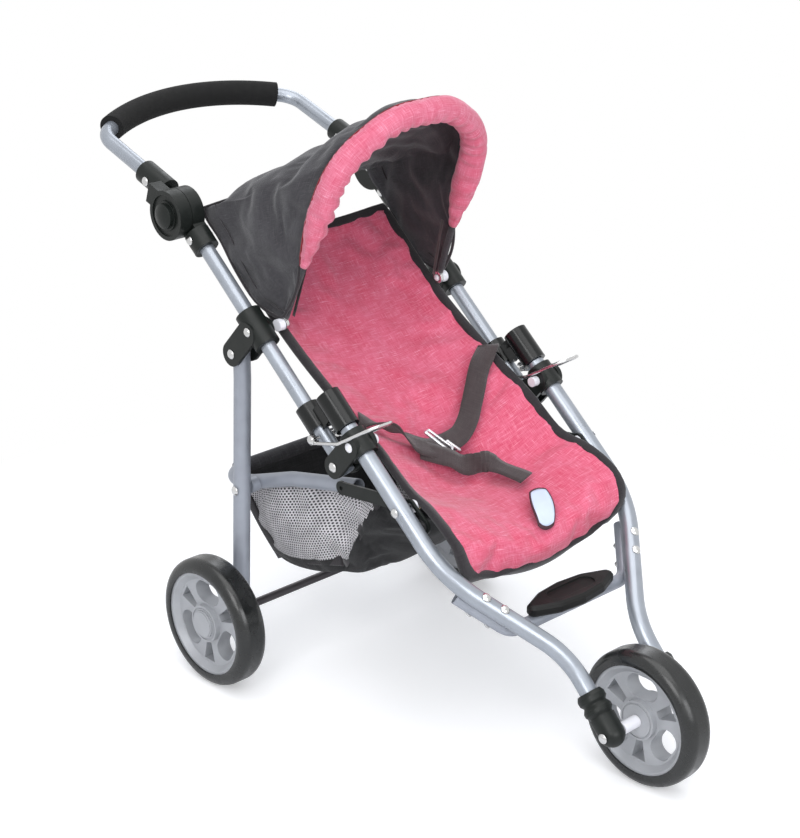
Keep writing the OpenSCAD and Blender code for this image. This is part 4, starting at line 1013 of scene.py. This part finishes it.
def bag_mat(j, i):
    """Net in the side windows, cloth elsewhere."""
    a = 1 - abs(-1 + 2 * (i + 0.5) / BT)
    v = (j + 0.5) / BV
    return 1 if WIN_T[0] < a < window_end(v) and WIN_V[0] < v < WIN_V[1] else 0


bag = grid("basket_cloth", rows, [DARK, MESH], mat_of=bag_mat, uv_of=lambda j, i: (i * 0.0042, j * 0.0036))
ripple(bag, 0.0015, 32.0, 5.5)
relax_cloth(bag, edge_pins(len(rows), BT + 1, BV), 0.03, cap=0.007, bending=0.5)
BACK_COLS, BACK_ROWS, BACK_BOW = 24, 20, 5
back_rows = []
for k in range(BACK_ROWS + 1):
    v = k / BACK_ROWS
    across = [j / BACK_COLS for j in range(BACK_COLS + 1)]
    back_rows.append([bag_at(1, v).lerp(bag_at(-1, v), u) + mm(0, BACK_BOW * math.sin(math.pi * u) * v, 0)
                      for u in across])
back = grid("basket_back", back_rows, [DARK])
ripple(back, 0.0014, 40.0, 9.1)
bag_parts = [bag, back]
BAND_LIFT = 0.0016


def bag_band(name, spots, width):
    """A sewn band on the bag, along its places (t, v)."""
    path = [bag_at(t, v) + Vector((math.copysign(BAND_LIFT, t), 0, 0)) for t, v in spots]
    o = sweep(name, path, ACROSS, oval(width, 0.0022, 12, 0.5), [BIND])
    bag_parts.append(o)


for sgn, label in LABELS.items():
    along = [1 - 0.98 * SIDE_SHARE * k / 40 for k in range(41)]
    down = [k / 20 for k in range(21)]
    bag_band("basket_rim_" + label, [(sgn * t, 0.01) for t in along], 0.0065)
    bag_band("basket_low_" + label, [(sgn * t, 0.86) for t in along], 0.011)
    bag_band("basket_rear_edge_" + label, [(sgn * (1 - WIN_T[0] * 0.6), v) for v in down], 0.011)
    bag_band("basket_front_edge_" + label, [(sgn * (1 - window_end(v * 0.9)), v * 0.9) for v in down], 0.008)
for o in bag_parts:
    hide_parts("basket_bag")
sleeve_path = [bk(x, 55.2, -10.8) for x in range(-84, 85, 6)]    # along the rear bar of the basket's tube
sleeve = sweep("basket_sleeve", sleeve_path, Vector((0, 0, 1)), oval(0.0172, 0.0172, 20, 1.0), [GREY])
bag_parts.append(sleeve)

# ---------------------------------------------------------------- bodies

for o in bag_parts:
    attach(o, "basket_frame")
thicken(bag, 0.0009)
thicken(back, 0.0009)
# The bag parts below the rim, all but the sleeve and the rim bands, get meshes of their own.
for o in bag_parts:
    if o is not sleeve and "rim" not in o.name:
        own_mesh(o)
for o in (seat, bind, far_strap, near_strap, tail_strap, *buckle, patch, patch_edge):
    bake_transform(o)
for o in (hood, *trim):
    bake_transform(o)

# ---------------------------------------------------------------- stage, light and camera

AZ, EL = math.radians(-43.12), math.radians(22.3)
cam_data = bpy.data.cameras.new("camera")
cam = bpy.data.objects.new("camera", cam_data)
scene.collection.objects.link(cam)
cam.location = mm(-1172.4, FOLD[0] - 1199.84, FOLD[1] + 697.3)    # counted from the fold line
cam.rotation_euler = (math.pi / 2 - EL, 0, AZ)
cam_data.lens = 86.09
cam_data.sensor_width = 36.0
cam_data.clip_end = 20.0
scene.camera = cam

FLOOR_MIDDLE, FLOOR_FADE = (-0.02, 0.02, 0.0), (0.34, 0.66)
FLOOR_GLOW = 0.25
WORLD_GLOW = 0.56


def seen_rays(t):
    """The rays that see the background: the camera's, and those off gloss and through glass."""
    ray = t.add("ShaderNodeLightPath").outputs
    shine = t.math("MAXIMUM", ray["Is Camera Ray"], ray["Is Glossy Ray"])
    return ray, t.math("MAXIMUM", shine, ray["Is Transmission Ray"])


def build_floor(t, s, out):
    """White, with the object's shadow near it and a clean white further out."""
    place = t.add("ShaderNodeTexCoord").outputs["Object"]
    far = t.span(t.vec("LENGTH", t.vec("SUBTRACT", place, FLOOR_MIDDLE)), *FLOOR_FADE)
    ray, seen = seen_rays(t)
    t.put(s.inputs["Base Color"], (0.90, 0.90, 0.905))
    t.put(s.inputs["Roughness"], 0.6)
    t.put(s.inputs["Specular IOR Level"], 0.15)
    glow = t.add("ShaderNodeEmission")
    mixer = t.add("ShaderNodeMixShader")
    t.put(s.inputs["Emission Color"], (1.0, 1.0, 1.0))
    t.put(s.inputs["Emission Strength"], t.math("MULTIPLY", ray["Is Camera Ray"], FLOOR_GLOW))
    t.put(mixer.inputs[0], t.math("MULTIPLY", far, seen))
    t.t.links.new(s.outputs[0], mixer.inputs[1])
    t.t.links.new(glow.outputs[0], mixer.inputs[2])
    t.t.links.new(mixer.outputs[0], out.inputs[0])


bm = bmesh.new()
bmesh.ops.create_grid(bm, x_segments=1, y_segments=1, size=6.0)
floor_mesh = bpy.data.meshes.new("floor")
bm.to_mesh(floor_mesh)
bm.free()
floor = link(floor_mesh, "floor")
floor.location.z = -0.0002
floor_mesh.materials.append(material("floor white", build_floor))
floor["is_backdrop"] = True

world = bpy.data.worlds.new("world")
scene.world = world
world.use_nodes = True
wt = Tree(world.node_tree)
world.node_tree.nodes.clear()
bg = wt.add("ShaderNodeBackground")
seen = seen_rays(wt)[1]
wt.put(bg.inputs["Color"], wt.mix(seen, (0.90, 0.93, 1.0), (1.0, 1.0, 1.0)))
wt.put(bg.inputs["Strength"], wt.span(seen, 0.0, 1.0, WORLD_GLOW, 1.0))
world.node_tree.links.new(bg.outputs[0], wt.add("ShaderNodeOutputWorld").inputs[0])


def area_light(name, place, target, size, power, color=(1.0, 1.0, 1.0)):
    """A soft box at a place in metres, aimed at a target."""
    data = bpy.data.lights.new(name, "AREA")
    data.shape = "RECTANGLE"
    data.size, data.size_y = size
    data.energy = power
    data.color = color
    o = bpy.data.objects.new(name, data)
    scene.collection.objects.link(o)
    o.location = place
    o.rotation_euler = (Vector(target) - Vector(place)).to_track_quat("-Z", "Y").to_euler()


area_light("top", (-0.2, -0.2, 2.4), (0, 0, 0.2), (2.2, 2.2), 29.0)
area_light("key", (-1.7, -1.0, 1.6), (0, 0, 0.25), (1.1, 1.3), 23.0)
area_light("front", (-0.5, -2.3, 1.0), (0, 0, 0.3), (1.6, 1.0), 22.0, (0.97, 0.98, 1.0))
area_light("back", (1.6, 1.5, 1.6), (0, 0, 0.3), (1.0, 1.4), 9.0, (0.92, 0.95, 1.0))

scene.view_settings.view_transform = "Standard"

low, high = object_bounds()
